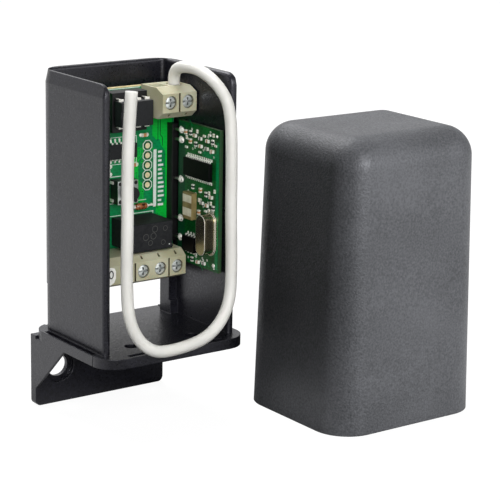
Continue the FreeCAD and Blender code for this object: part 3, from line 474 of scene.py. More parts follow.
# A geometry tree with named inputs. Its methods add nodes and hand back what they make.
class FormTree:
    def __init__(self, name, sizes):
        self.tree = bpy.data.node_groups.new(name, "GeometryNodeTree")
        sockets = self.tree.interface
        for way in ("INPUT", "OUTPUT"):
            sockets.new_socket(name="Geometry", in_out=way, socket_type="NodeSocketGeometry")
        for label, value in sizes.items():
            kind = "NodeSocketInt" if isinstance(value, int) else "NodeSocketFloat"
            kind = "NodeSocketMaterial" if value in shades else kind
            made = sockets.new_socket(name=label, in_out="INPUT", socket_type=kind)
            made.default_value = shades.get(value, value)
        self.size = addNode(self.tree, "NodeGroupInput").outputs

    def add(self, kind, inputs=None, **settings):
        return addNode(self.tree, "GeometryNode" + kind, inputs, **settings).outputs[0]

    def plus(self, first, second):
        return reckon(self.tree, first, second)

    def minus(self, first, second):
        return reckon(self.tree, first, second, "SUBTRACT")

    def times(self, first, second):
        return reckon(self.tree, first, second, "MULTIPLY")

    def vector(self, x, y, z):
        return addNode(self.tree, "ShaderNodeCombineXYZ", {0: x, 1: y, 2: z}).outputs[0]

    def moved(self, shape, x, y, z):
        return self.add("Transform", {"Geometry": shape, "Translation": self.vector(x, y, z)})

    def block(self, x, y, z, centre=(0, 0, 0)):
        return self.moved(self.add("MeshCube", {"Size": self.vector(x, y, z)}), *centre)

    def cylinder(self, sides, radius, depth):
        return self.add("MeshCylinder", {"Vertices": sides, "Radius": radius, "Depth": depth})

    def joined(self, *parts):
        join = self.tree.nodes.new("GeometryNodeJoinGeometry")
        for part in reversed(parts):
            self.tree.links.new(part, join.inputs[0])
        return join.outputs[0]

    # Puts one shape on every point, turned and scaled by the points' own attributes.
    def onPoints(self, shape, material):
        turn, size = (self.add("InputNamedAttribute", {"Name": label}, data_type="FLOAT_VECTOR")
                      for label in ("turn", "size"))
        copies = self.add("InstanceOnPoints", {"Points": self.size["Geometry"], "Instance": shape,
                                               "Rotation": turn, "Scale": size})
        real = self.add("RealizeInstances", {"Geometry": copies})
        return self.add("SetMaterial", {"Geometry": real, "Material": self.size[material]})

    def ended(self, geometry):
        addNode(self.tree, "NodeGroupOutput", {0: geometry})
        return self.tree


# Rotation that puts a shape's X along one direction and its Z along another.
def facing(outward, upward):
    outward, upward = Vector(outward), Vector(upward)
    return Matrix((outward, upward.cross(outward), upward)).transposed().to_euler()


onBoard = facing((1, 0, 0), outOfBoard)
onRadio = facing((0, -1, 0), intoRoom)
uprightOnRadio = facing((0, 0, 1), intoRoom)


# Runs a tree on a cloud of spots (place, rotation, scale) and keeps the result as a plain mesh.
def growPiece(name, tree, values, spots, replaced=(), smooth=40,
              body=chassisBody):
    cloud = bpy.data.meshes.new(name + "Spots")
    cloud.from_pydata([spot[0] for spot in spots], [], [])
    for index, label in ((1, "turn"), (2, "size")):
        data = cloud.attributes.new(label, "FLOAT_VECTOR", "POINT").data
        for item, spot in zip(data, spots):
            item.vector = tuple((*spot, (1, 1, 1))[index])
    holder = addObject(name + "Holder", cloud)
    modifier = holder.modifiers.new("grow", "NODES")
    modifier.node_group = tree
    for item in tree.interface.items_tree:
        if item.in_out == "INPUT" and item.name in values:
            value = values[item.name]
            modifier[item.identifier] = shades.get(value, value)
    graph = bpy.context.evaluated_depsgraph_get()
    mesh = bpy.data.meshes.new_from_object(holder.evaluated_get(graph), depsgraph=graph)
    holder.modifiers.remove(modifier)
    bpy.data.objects.remove(holder)
    bpy.data.meshes.remove(cloud)
    mesh.name = name
    mesh.transform(toFrame)
    smoothBelow(mesh, smooth)
    return finishPiece(name, mesh, replaced, (), body)


# A terminal screw: domed head with a slot and a shorter cross, a shank and its thread rings.
def screwTree():
    form = FormTree("terminalScrew", {
        "Head Radius": 1.65, "Head Height": 1.05, "Dome Radius": 5.2, "Slot Width": 0.5,
        "Slot Depth": 0.5, "Cross Reach": 1.0, "Shank Radius": 1.02, "Thread Radius": 1.25,
        "Length": 3.4, "Thread Pitch": 0.45, "Thread Count": 7, "Material": "screwZinc"})
    size = form.size
    head = form.cylinder(40, size["Head Radius"], size["Head Height"])
    head = form.moved(head, 0, 0, form.times(size["Head Height"], -0.5))
    ball = form.add("MeshUVSphere", {"Segments": 64, "Rings": 48, "Radius": size["Dome Radius"]})
    ball = form.moved(ball, 0, 0, form.times(size["Dome Radius"], -1.0))
    dome = addNode(form.tree, "GeometryNodeMeshBoolean", {1: head}, operation="INTERSECT")
    form.tree.links.new(ball, dome.inputs[1])
    head = dome.outputs[0]
    deep = form.times(size["Slot Depth"], 2.0)
    slot = form.block(6.0, size["Slot Width"], deep)
    cross = form.block(size["Slot Width"], form.times(size["Cross Reach"], 2.0),
                       form.times(deep, 0.94))
    for cutter in (slot, cross):
        head = form.add("MeshBoolean", {0: head, 1: cutter}, operation="DIFFERENCE")
    shank = form.cylinder(24, size["Shank Radius"], size["Length"])
    shank = form.moved(shank, 0, 0, form.minus(form.times(size["Length"], -0.5),
                                               size["Head Height"]))
    start = form.minus(form.times(size["Head Height"], -1.0), 0.3)
    pitch = form.times(size["Thread Pitch"], -1.0)
    line = form.add("MeshLine", {"Count": size["Thread Count"],
                                 "Start Location": form.vector(0, 0, start),
                                 "Offset": form.vector(0, 0, pitch)})
    cone = form.add("MeshCone", {"Vertices": 24, "Radius Top": size["Shank Radius"],
                                 "Radius Bottom": size["Thread Radius"],
                                 "Depth": form.times(size["Thread Pitch"], 0.5)})
    crest = [form.add("Transform", {"Geometry": cone, "Rotation": (turned, 0, 0)})
             for turned in (0.0, math.pi)]
    threads = form.add("InstanceOnPoints", {"Points": line, "Instance": form.joined(*crest)})
    return form.ended(form.onPoints(form.joined(head, shank, threads), "Material"))


# A chip's lead: a shoulder out of the body, a drop and a foot. X is outward, Z off the board.
def leadTree():
    form = FormTree("chipLead", {
        "Width": 0.45, "Shoulder Width": 0.45, "Thickness": 0.2, "Reach": 1.0, "Drop": 0.9,
        "Foot": 0.5, "Material": "tinBright"})
    width, thickness, reach, drop, foot = (
        form.size[label] for label in ("Width", "Thickness", "Reach", "Drop", "Foot"))
    shoulder = form.block(reach, form.size["Shoulder Width"], thickness,
                          (form.minus(form.times(reach, 0.5), thickness), 0, 0))
    across = form.minus(reach, thickness)
    # the drop is slimmer than the rest, so that no two faces share a plane
    down = form.block(form.times(thickness, 0.9), form.times(width, 0.96), drop,
                      (form.plus(across, form.times(thickness, -0.5)), 0, form.times(drop, -0.5)))
    toe = form.times(form.minus(foot, thickness), 0.5)
    sole = form.block(form.plus(foot, thickness), width, thickness,
                      (form.plus(across, toe), 0, form.times(drop, -1.0)))
    return form.ended(form.onPoints(form.joined(shoulder, down, sole), "Material"))


# A chip part: a ceramic body between two tinned ends.
def chipPartTree():
    form = FormTree("chipPart", {"Length": 1.6, "Width": 0.85, "Height": 0.6, "End": 0.32,
                                 "Body Material": "capacitorTan", "End Material": "tinBright"})
    length, width, height, end = (
        form.size[label] for label in ("Length", "Width", "Height", "End"))
    inner = form.minus(length, form.times(end, 2.0))
    middle = form.times(height, 0.5)
    body = form.block(form.plus(inner, 0.04), form.minus(width, 0.06), form.minus(height, 0.06),
                      (0, 0, middle))
    shift = form.times(form.minus(length, end), 0.5)
    ends = [form.block(end, width, height, (x, 0, middle))
            for x in (shift, form.times(shift, -1.0))]
    return form.ended(form.joined(form.onPoints(body, "Body Material"),
                                  form.onPoints(form.joined(*ends), "End Material")))


# Solder: a low rounded heap, a little uneven from point to point.
def solderTree():
    form = FormTree("solderHeap", {"Radius": 0.8, "Height": 0.5, "Unevenness": 0.08, "Seed": 4,
                                   "Material": "tinBright"})
    size = form.size
    ball = form.add("MeshUVSphere", {"Segments": 18, "Rings": 10, "Radius": 1.0})
    heap = form.add("Transform", {"Geometry": ball, "Scale": form.vector(
        size["Radius"], size["Radius"], size["Height"])})
    made = form.onPoints(heap, "Material")
    cloud = addNode(form.tree, "ShaderNodeTexNoise", {"Scale": 1.3, "W": size["Seed"]},
                    noise_dimensions="4D").outputs[0]
    lift = form.times(form.minus(cloud, 0.5), size["Unevenness"])
    offset = addNode(form.tree, "ShaderNodeVectorMath", {0: form.add("InputNormal"), "Scale": lift},
                     operation="SCALE").outputs[0]
    return form.ended(form.add("SetPosition", {"Geometry": made, "Offset": offset}))


# A plated hole with its printed outline: tin disc, dark ring and a many-sided white frame.
def padTree():
    form = FormTree("padRow", {
        "Pad Radius": 0.72, "Gap Radius": 1.0, "Frame Radius": 1.42, "Frame Width": 0.2,
        "Frame Sides": 8, "Thickness": 0.04, "Pad Material": "padTin", "Gap Material": "maskDark",
        "Frame Material": "silkWhite"})
    size = form.size
    thickness = size["Thickness"]
    layers = []
    for label, lift in (("Gap", 1.0), ("Pad", 2.2)):
        disc = form.cylinder(24, size[label + " Radius"], thickness)
        disc = form.moved(disc, 0, 0, form.times(thickness, lift))
        layers.append(form.onPoints(disc, label + " Material"))
    loop = form.add("CurvePrimitiveCircle", {"Resolution": size["Frame Sides"],
                                             "Radius": size["Frame Radius"]})
    loop = form.add("Transform", {"Geometry": loop, "Rotation": (0, 0, math.pi / 8)})
    profile = form.add("CurvePrimitiveQuadrilateral", {0: size["Frame Width"], 1: thickness})
    outline = form.add("CurveToMesh", {"Curve": loop, "Profile Curve": profile})
    layers.append(form.onPoints(form.moved(outline, 0, 0, thickness), "Frame Material"))
    return form.ended(form.joined(*layers))


screwForm, leadForm, chipPartForm = screwTree(), leadTree(), chipPartTree()
solderForm, padForm = solderTree(), padTree()
print("geometry trees made")


def addRod(form, start, end, radius, sides=20):
    start, end = Vector(start), Vector(end)
    along = (end - start).normalized()
    side = along.orthogonal().normalized()
    other = along.cross(side)
    lip = along * radius * 0.15
    rings = []
    for centre, factor in ((start, 0.82), (start + lip, 1), (end - lip, 1), (end, 0.82)):
        rings.append([form.verts.new(centre + radius * factor * (side * a + other * b))
                      for a, b in circle(sides)])
    form.faces.new(rings[0][::-1])
    form.faces.new(rings[-1])
    joinRings(form, rings, sides)


# A ring of one point closes the form.
def joinRings(form, rings, sides):
    for low, high in zip(rings, rings[1:]):
        for k in range(sides):
            after = (k + 1) % sides
            corners = [low[k % len(low)], low[after % len(low)],
                       high[after % len(high)], high[k % len(high)]]
            form.faces.new(list(dict.fromkeys(corners)))


wireSettings = {
    "diameter": 3.0,
    "core": 1.5,
    "length": 171.1,
    "route": [(14.31, 4.61, 59.6), (14.04, 4.84, 62.99), (13.23, 1.25, 65.92), (14.3, -7.0, 66.2),
              (15.32, -14.83, 62.08), (16.38, -17.14, 56.76), (15.8, -18.6, 44.5),
              (15.7, -18.8, 31.5), (15.9, -19.2, 18.5), (15.0, -19.9, 8.5), (8.5, -21.4, 2.2),
              (-1.5, -22.4, 0.7), (-10.5, -22.7, 1.2), (-15.8, -21.6, 8.5), (-15.8, -20.4, 20.0),
              (-15.0, -19.6, 32.5), (-14.7, -18.9, 45.0), (-13.9, -18.4, 56.5),
              (-13.1, -18.1, 64.6)],
    "clampEnd": 55.9,
    "bared": (1.2, 0.3),        # the core's last stretch, from the free end
}


def addAntennaWire(settings):
    route = settings["route"]
    line = bpy.data.curves.new("antennaWire", "CURVE")
    line.dimensions = "3D"
    line.resolution_u = 10
    line.bevel_depth = settings["diameter"] / 2000
    line.bevel_resolution = 6
    line.use_fill_caps = True
    spline = line.splines.new("NURBS")
    spline.points.add(len(route) - 1)
    for point, spot in zip(spline.points, route):
        point.co = (*place(*spot), 1)
    spline.order_u = 3
    spline.use_endpoint_u = True
    wire = addObject("antennaWire", line)
    line.materials.append(shades["wireJacket"])
    start, end = Vector(route[0]), Vector(route[-1])
    out = (end - Vector(route[-2])).normalized()
    far, near = settings["bared"]
    form = bmesh.new()
    addRod(form, start + Vector((0, 0, 0.4)), (start.x, start.y, settings["clampEnd"]),
           settings["core"] / 2)
    addRod(form, end - out * far, end - out * near, settings["core"] / 2)
    core = meshPiece("antennaCore", form, ["coreCopper"], ["antenna_wire_core"])
    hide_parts("antenna_wire")
    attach(wire, chassisBody)


addAntennaWire(wireSettings)
print("antenna wire laid")

# Nodes that show as the CAD model has them, and their materials
dressedNodes = {
    "chassis": "chassisPlastic", "cover": "capPlastic", "antenna_terminal_housing": "terminalBeige",
    "output_terminal_1_housing": "terminalBeige", "output_terminal_2_housing": "terminalBeige",
    "output_terminal_3_housing": "terminalBeige", "antenna_terminal_contacts": "tinBright",
    "output_terminal_contacts": "tinBright", "chip_socket_pins": "tinBright",
    # the header pins' darker tin is painted shade
    "relay_pins": "tinBright", "radio_header_pins": "pinTinShaded", "button_dome": "domeSteel",
    "button_legs": "tinBright", "relay_case": "relayBlack", "relay_base": "blackHousing",
    "relay_coil": "coilCopper", "relay_core": "clampZinc", "crystal": "crystalMetal",
}
for nodeName, material in dressedNodes.items():
    dressNode(nodeName, material)
for nodeName in nodes:
    if "_clamp_" in nodeName:
        dressNode(nodeName, "clampZinc")

# Nodes shown with rounded edges: piece, slot, material, rounding, and its steps and body
roundedNodes = {
    "chip_socket": ("chipSocket", "black_housing", "blackHousing", 0.12),
    "controller_chip": ("controllerChip", "chip_plastic", "chipBlack", 0.14),
    "logic_chip": ("logicChip", "chip_plastic", "chipBlack", 0.1),
    "button_body": ("buttonBody", "black_housing", "blackHousing", 0.07),
    "button_plate": ("buttonPlate", "button_metal", "buttonSteel", 0.05),
    "button_plunger": ("buttonPlunger", "chip_plastic", "chipBlack", 0.12, 2, "button"),
    "smoothing_capacitor": ("smoothingCapacitor", "capacitor_can", "capacitorMetal", 0.3, 3),
    "voltage_regulator": ("voltageRegulator", "chip_plastic", "chipBlack", 0.1),
    "radio_chip": ("radioChipBody", "chip_plastic", "chipDark", 0.1),
    "memory_chip": ("memoryChipBody", "chip_plastic", "chipDark", 0.1),
    "radio_header": ("radioHeader", "black_housing", "blackHousing", 0.1),
    "ceramic_filter": ("ceramicFilter", "tan_ceramic", "filterTan", 0.12),
}
for nodeName, look in roundedNodes.items():
    roundedCopy(nodeName, *look)
print("nodes dressed")

# Screws: where each pole stands across, the height of each row and the depth of the heads
terminalScrews = {
    "rows": {
        "antenna": (57.3, {"left": 9.23, "right": 14.31}),
        "output": (15.2, {"1": -13.82, "2": -8.74, "3": -3.66, "4": 1.42, "5": 6.5, "6": 11.58}),
    },
    "headFace": -1.34,
}
for row, (height, poles) in terminalScrews["rows"].items():
    for pole, x in poles.items():
        body = row + "_screw_" + pole
        growPiece("screw." + row + "." + pole, screwForm, {},
                  [((x, terminalScrews["headFace"], height), onBoard)], [body],
                  30, body)

# Solder joints of the output terminals, on the back of the main board
backJoints = {"face": 9.96, "height": 17.7}
growPiece("backSolder", solderForm, {"Radius": 1.0, "Height": 0.8, "Unevenness": 0.1},
          [((x, backJoints["face"], backJoints["height"]), facing((1, 0, 0), (0, 1, 0)))
           for x in terminalScrews["rows"]["output"][1].values()])
print("screws made")

# Tag on the first output block, with a plain ring
labelSettings = {
    "left": -12.8, "right": -7.0, "low": 12.95, "high": 17.45, "face": -1.64, "thickness": 0.25,
    "upperCorner": [(1.1, 0.0), (0.35, 0.25), (0.0, 1.0)],
    "lowerCorner": [(0.0, 1.7), (0.5, 0.6), (1.6, 0.0)],
    "ring": {"place": (-8.35, 15.7), "height": 2.2, "width": 1.4, "stroke": 0.3},
}


def addLabel(left, right, low, high, face, thickness, upperCorner, lowerCorner, ring):
    art = BoardArt(lambda u, v, w: Vector((u, face - w, v)))
    outline = [(left, low), (left, high)]
    outline += [(right - a, high - b) for a, b in upperCorner]
    outline += [(right - a, low + b) for a, b in lowerCorner]
    art.slab(outline, 0, thickness * 0.9)
    outer = ring["height"] / 2
    art.ring(*ring["place"], outer, outer - ring["stroke"], 1, thickness, thickness * 0.85, 28,
             ring["width"] / ring["height"])
    art.finish("terminalTag", ["labelWhite", "labelInk"], ["terminal_label"])


addLabel(**labelSettings)


def addLaminate(name, centre, size, material, nodeName, rounding):
    form = bmesh.new()
    bmesh.ops.create_cube(form, size=1, matrix=Matrix.Translation(centre)
                          @ Matrix.Diagonal((*size, 1)))
    board = meshPiece(name, form, [material], [nodeName])
    edge = board.modifiers.new("edgeRounding", "BEVEL")
    edge.width, edge.segments = rounding / 1000, 2


# Main board. A bundle of tracks is a start, the gap between tracks, how many, which way they
# run, how far, and how far they step aside. A pour is its points and its rise, and an outline
# its points and its width.
mainBoard = {
    "half": 16.85, "low": 11.5, "high": 60.5, "thickness": 1.6, "mask": 0.04, "maskInset": 0.12,
    "pads": {"x": 8.76, "top": 44.92, "pitch": 2.54, "count": 5},
    "bar": (10.6, 28.8, 11.5, 43.7),
    "dashes": {"left": 12.0, "right": 13.0, "vary": 0.9, "low": 28.9, "pitch": 1.15,
               "height": 0.55, "count": 13},
    "pours": [([(11.8, 52.6), (16.2, 52.6), (16.2, 25.2), (14.6, 25.2), (14.2, 25.6),
                (14.2, 43.0)], 0.022),
              ([(10.2, 47.4), (10.2, 52.6), (14.4, 52.6), (14.4, 42.8), (12.9, 44.6),
                (12.4, 46.3), (11.4, 46.2)], 0.021),
              ([(11.2, 27.6), (14.4, 30.0), (14.4, 25.3)], 0.021)],
    "gaps": [[(12.6, 53.0), (12.6, 47.4), (13.3, 46.6), (13.3, 44.6)],
             [(11.9, 51.9), (11.9, 46.0)],
             [(15.3, 45.5), (15.3, 31.0), (14.8, 30.4), (14.8, 26.5)]],
    "gapWidth": 0.22,
    "tracks": {
        "width": 0.32, "wander": 0.8, "holeShare": 0.6, "holeRadii": (0.36, 0.14),
        "bundles": [(-15.6, 21.6, 0.62, 7, "up", 5.5, 3.2), (-14.2, 41.0, 0.62, 6, "up", 4.0, -2.4),
                    (-6.6, 20.2, 0.58, 4, "up", 6.0, 1.4), (3.2, 38.2, 0.58, 5, "up", 2.2, 1.8),
                    (5.2, 30.8, 0.56, 5, "up", 4.0, -1.6), (-9.6, 56.4, 0.6, 4, "side", 3.4, 1.6),
                    (10.4, 21.2, 0.6, 3, "up", 3.2, 1.2), (-12.0, 33.6, 0.6, 4, "side", 5.4, -2.2)],
    },
    "backTracks": {"count": 14, "left": -14, "pitch": 2.1, "low": 15, "bend": 24, "stagger": 1.5,
                   "jog": 1.2, "high": 46, "width": 0.4},
    "outlines": [([(-2.5, 27.75), (10.6, 27.75)], 0.16), ([(10.5, 27.75), (10.5, 20.0)], 0.16),
                 ([(-3.1, 37.9), (-3.1, 31.0), (4.5, 31.0), (4.5, 37.9), (-3.1, 37.9)], 0.2),
                 ([(-4.9, 47.9), (5.4, 47.9), (5.4, 41.0), (-4.9, 41.0), (-4.9, 47.9)], 0.14),
                 ([(-5.2, 60.2), (6.3, 60.2)], 0.16), ([(-5.2, 49.6), (6.3, 49.6)], 0.16),
                 ([(-15.2, 48.0), (-8.4, 48.0), (-8.4, 54.9), (-15.2, 54.9), (-15.2, 48.0)],
                  0.16),
                 ([(4.2, 31.0), (8.4, 31.0)], 0.14),
                 ([(-5.9, 41.4), (-2.4, 41.4), (-2.4, 37.8), (-5.9, 37.8)], 0.14)],
    "holes": {"count": 26, "across": (-15.5, 13.8), "up": (20.5, 59), "radii": (0.4, 0.17)},
    "seed": 7,
}


def addTracks(art, chance, bundles, width, wander, holeShare, holeRadii):
    for u, v, gap, count, way, run, jog in bundles:
        for k in range(count):
            lead = wander * chance.random()
            along = run + lead
            points = [(0, 0), (0, along), (jog, along + abs(jog)),
                      (jog, along + abs(jog) + run - lead)]
            if way == "side":
                points = [(b, a) for a, b in points]
            step = (k * gap, 0) if way == "up" else (0, k * gap)
            points = [(u + a + step[0], v + b + step[1]) for a, b in points]
            art.track(points, width, trackShade, 0.02)
            for end in (points[0], points[-1]):
                if chance.random() < holeShare:
                    art.plated(*end, *holeRadii, trackShade, 0.035)


# Plain printed dashes beside the bar
def addDashes(art, chance, left, right, vary, low, pitch, height, count):
    for k in range(count):
        bottom, end = low + pitch * k, right + vary * chance.random()
        art.slab(rectangle(left, bottom, end, bottom + height), silkShade, 0.05, 0.02)


def addBackTracks(art, count, left, pitch, low, bend, stagger, jog, high, width):
    for k in range(count):
        u, v = left + pitch * k, bend + stagger * (k % 4)
        art.track([(u, low), (u, v), (u + jog, v + jog), (u + jog, high + k % 3)], width,
                  trackShade, 0.02)


def addMainBoard(half, low, high, thickness, mask, maskInset, pads, bar, dashes, pours, gaps,
                 gapWidth, tracks, outlines, holes, backTracks, seed):
    addLaminate("mainBoardLaminate", (0, boardFace + thickness / 2, (low + high) / 2),
                (2 * half, thickness, high - low), "laminate", "main_board", 0.08)
    rim = rectangle(-half + maskInset, low + maskInset, half - maskInset, high - maskInset)
    front = BoardArt(lambda u, v, w: Vector((u, boardFace - w, v)), mask)
    front.slab(rim, maskShade, 0, -mask)
    chance = random.Random(seed)
    addTracks(front, chance, **tracks)
    for outline, rise in pours:
        front.slab(outline, trackShade, rise)
    for points in gaps:
        front.track(points, gapWidth, holeShade, 0.03, 0.022)
    front.slab(rectangle(*bar), silkShade, 0.03)
    for points, width in outlines:
        front.track(points, width, silkShade, 0.05, 0.02)
    addDashes(front, chance, **dashes)
    for k in range(holes["count"]):         # small plated holes joining the two sides
        u, v = chance.uniform(*holes["across"]), chance.uniform(*holes["up"])
        front.plated(u, v, *holes["radii"], trackShade, 0.036)
    front.finish("mainBoardFront",
                 ["maskMiddle", "maskBright", "silkWhite", "maskDark"])
    back = BoardArt(lambda u, v, w: Vector((u, boardFace + thickness + w, v)), backMask)
    back.slab(rim, maskShade, 0, -backMask)
    addBackTracks(back, **backTracks)
    back.finish("mainBoardBack", ["maskMiddle", "maskBright"])
    growPiece("programmingPads", padForm, {},
              [((pads["x"], boardFace - mask, pads["top"] - pads["pitch"] * k), onBoard)
               for k in range(pads["count"])])


addMainBoard(**mainBoard)
print("main board made")

# Leads of the four chips. The centre is the middle of the chip where its leads come out, and
# half is how far out they start.
chipLeads = {
    "controllerLeads": {
        "node": "controller_chip_leads", "centre": (0.75, 2.2, 55.0),
        "pins": 4, "pitch": 2.54, "half": 3.15, "along": (1, 0, 0), "upward": outOfBoard,
        "form": {"Width": 0.5, "Shoulder Width": 1.3, "Thickness": 0.26, "Reach": 0.82,
                 "Drop": 3.0, "Foot": 0.05}},
    "logicLeads": {
        "node": "logic_chip_leads", "centre": (0.3, 7.45, 44.5),
        "pins": 7, "pitch": 1.27, "half": 1.85, "along": (1, 0, 0), "upward": outOfBoard,
        "form": {"Width": 0.42, "Shoulder Width": 0.42, "Thickness": 0.2, "Reach": 0.62,
                 "Drop": 0.78, "Foot": 0.55}},
    "radioChipLeads": {
        "node": "radio_chip_leads", "centre": (radioFace - 0.62, -4.9, 40.5),
        "pins": 14, "pitch": 0.8, "half": 2.3, "along": (0, 1, 0), "upward": intoRoom,
        "form": {"Width": 0.34, "Shoulder Width": 0.34, "Thickness": 0.18, "Reach": 0.651,
                 "Drop": 0.53, "Foot": 0.525}},
    "memoryChipLeads": {
        "node": "memory_chip_leads", "centre": (radioFace - 0.8, -2.05, 20.65),
        "pins": 4, "pitch": 1.27, "half": 1.95, "along": (0, 1, 0), "upward": intoRoom,
        "form": {"Width": 0.42, "Shoulder Width": 0.42, "Thickness": 0.18, "Reach": 0.589,
                 "Drop": 0.71, "Foot": 0.475}},
}


def leadSpots(chip):
    spots = []
    for side in (-1, 1):
        outward = Vector((0, 0, 1)) * side
        for k in range(chip["pins"]):
            shift = (k - (chip["pins"] - 1) / 2) * chip["pitch"]
            spot = Vector(chip["centre"]) + Vector(chip["along"]) * shift + outward * chip["half"]
            spots.append((tuple(spot), facing(outward, chip["upward"])))
    return spots


for name, chip in chipLeads.items():
    growPiece(name, leadForm, chip["form"], leadSpots(chip), [chip["node"]])
logicJoints = {"reach": 2.85, "sink": 0.08}
chip = chipLeads["logicLeads"]
growPiece("logicJoints", solderForm, {"Radius": 0.3, "Height": 0.16, "Unevenness": 0.05},
          [((chip["centre"][0] + (k - (chip["pins"] - 1) / 2) * chip["pitch"],
             boardFace - logicJoints["sink"],
             chip["centre"][2] + side * logicJoints["reach"]), onBoard)
           for side in (-1, 1) for k in range(chip["pins"])])

# The learn button's steel plate is held by four rivets.
rivets = {"x": 0.7, "z": 34.4, "apart": 4.6, "face": 4.71}
growPiece("buttonRivets", solderForm,
          {"Radius": 0.52, "Height": 0.14, "Unevenness": 0.0, "Material": "blackHousing"},
          [((rivets["x"] + a * rivets["apart"] / 2, rivets["face"],
             rivets["z"] + b * rivets["apart"] / 2), onBoard) for a in (-1, 1) for b in (-1, 1)])

# Six faint ejector marks on the relay's plain case
relaySettings = {
    "face": -1.94, "radii": (0.85, 0.68), "stroke": 0.13, "dot": (8.85, 21.42, 0.16),
    "marks": [(4.46, 25.83), (7.56, 25.69), (4.03, 24.08), (6.96, 22.14), (1.79, 23.99),
              (3.14, 22.39)],
}


def addRelayMarks(face, radii, stroke, dot, marks):
    art = BoardArt(lambda u, v, w: Vector((u, face - w, v)))
    for k, (u, v) in enumerate(marks):
        art.ring(u, v, radii[k % 2], radii[k % 2] - stroke, 0, 0.03, -0.05, 24)
    art.disc(*dot, 1, 0.03, -0.05)
    art.finish("relayMarks", ["relayMark", "silkWhite"])


addRelayMarks(**relaySettings)

# Glass diode with its metal ends, and its two leads
diodeSettings = {"x": 6.3, "y": 7.46, "z": 29.6, "half": 1.85, "radius": 0.86, "neck": 0.32,
                 "span": 3.7, "lead": 0.25, "collar": 0.55, "leadEnd": 11.1, "sides": 24}


def addDiode(x, y, z, half, radius, neck, span, lead, collar, leadEnd, sides):
    form = bmesh.new()
    rings = []
    for along, wide in ((-half, 0), (-half, neck), (-half + 0.25, radius * 0.8),
                        (-half + 0.6, radius), (half - 0.6, radius), (half - 0.25, radius * 0.8),
                        (half, neck), (half, 0)):
        rings.append([form.verts.new((x + along, y + wide * a, z + wide * b))
                      for a, b in circle(sides if wide else 1)])
    joinRings(form, rings, sides)
    meshPiece("diodeGlassBody", form, ["diodeGlass"], ["diode_glass"], 60)
    form = bmesh.new()
    for side in (-1, 1):
        end = x + side * span
        addRod(form, (x + side * (half + 0.1), y, z), (end, y, z), lead, 12)
        addRod(form, (end, y - 0.1, z), (end, leadEnd, z), lead, 12)
        addRod(form, (x + side * (half - 0.1), y, z), (x + side * (half + 0.2), y, z), collar, 16)
    meshPiece("diodeWires", form, ["tinBright"], ["diode_leads"])


addDiode(**diodeSettings)

# Small parts on the main board, across and up. Those of the dark numbers are resistors.
boardParts = {
    "places": [(7.7, 47.8), (-5.6, 40.6), (-3.2, 40.6), (-5.6, 38.6), (-3.2, 38.6), (4.6, 40.4),
               (-6.4, 31.6), (-6.4, 29.6), (-4.6, 25.4), (-4.6, 23.2)],
    "dark": [1, 3, 6, 8],
    "jointReach": 0.95, "jointSink": 0.05,
}


def addBoardParts(places, dark, jointReach, jointSink):
    spots = [((x, boardFace, z), onBoard) for x, z in places]
    growPiece("boardCapacitors", chipPartForm, {"End": 0.36},
              [spot for k, spot in enumerate(spots) if k not in dark],
              ["board_passives"], 20)
    growPiece("boardResistors", chipPartForm, {"Body Material": "resistorBlack", "End": 0.36},
              [spots[k] for k in dark], [], 20)
    growPiece("boardJoints", solderForm, {"Radius": 0.5, "Height": 0.22, "Unevenness": 0.06},
              [((x + side * jointReach, boardFace - jointSink, z), onBoard)
               for x, z in places for side in (-1, 1)])


addBoardParts(**boardParts)
print("main board parts made")

# Radio board. Places are depth and height on its parts side; a strip is a rectangle and its
# shade, and small tracks start in the areas.
radioBoard = {
    "back": 4.7, "front": -13.4, "low": 15.2, "high": 51.6, "thickness": 1.0, "mask": 0.04,
    "maskInset": 0.12,
    # The second strip, dark along the header, is painted shadow of the header.
    "strips": [((-13.1, 16.0, -11.9, 48.5), trackShade), ((1.6, 15.6, 4.5, 51.2), holeShade),
               ((-11.8, 43.9, -6.0, 45.4), trackShade)],
    "tracks": {"count": 34, "across": (-11.8, 1.6), "run": (0.7, 2.4), "width": 0.2,
               "areas": [(44.4, 50.6), (28.6, 36.6), (15.8, 18.0)], "holeRadii": (0.3, 0.13)},
    "header": {"depth": 3.6, "pins": [49.1, 46.56, 36.4, 26.24, 21.16], "pitch": 2.54,
               "holes": 12, "padRadius": 0.95, "holeRadius": 0.62},
    "outerTracks": {"count": 8, "low": 20, "pitch": 3.6, "back": 3.6, "bend": -4, "end": -6,
                    "rise": 2, "width": 0.35},
}
radioParts = {
    "places": [(1.2, 49.0), (-0.9, 49.1), (-2.8, 48.7), (-5.2, 48.3), (-8.4, 48.2), (-10.6, 48.3),
               (-0.9, 47.0), (-3.2, 46.6), (-5.4, 46.4), (-8.0, 46.2), (-10.4, 45.9), (-2.2, 35.5),
               (-5.6, 35.2), (-8.0, 34.6), (-10.2, 34.2), (-6.2, 32.0), (-8.4, 31.8),
               (-11.2, 31.6), (-5.0, 29.4), (-2.2, 16.6), (-4.8, 16.4), (-7.4, 16.6)],
    "filterPlaces": [(-1.6, 30.5), (-1.6, 33.0), (-1.6, 28.4)],
    "partForm": {"Length": 1.2, "Width": 0.8, "Height": 0.6, "End": 0.34},
    "smallForm": {"Length": 1.5, "Width": 0.85, "Height": 0.6, "End": 0.42,
                  "Body Material": "paleCeramic"},
    "small": {"tries": 26, "across": (-12.0, 1.2), "areas": [(44.6, 50.4), (28.8, 36.2)],
              "apart": 1.25, "size": 0.62, "filterFront": -3.9, "filterTop": 40},
    "pinSink": 0.4,
    "cornerDots": [(-9.07, 30.5, 0.62), (-11.39, 16.77, 0.6), (-12.2, 49.9, 0.4)],
}


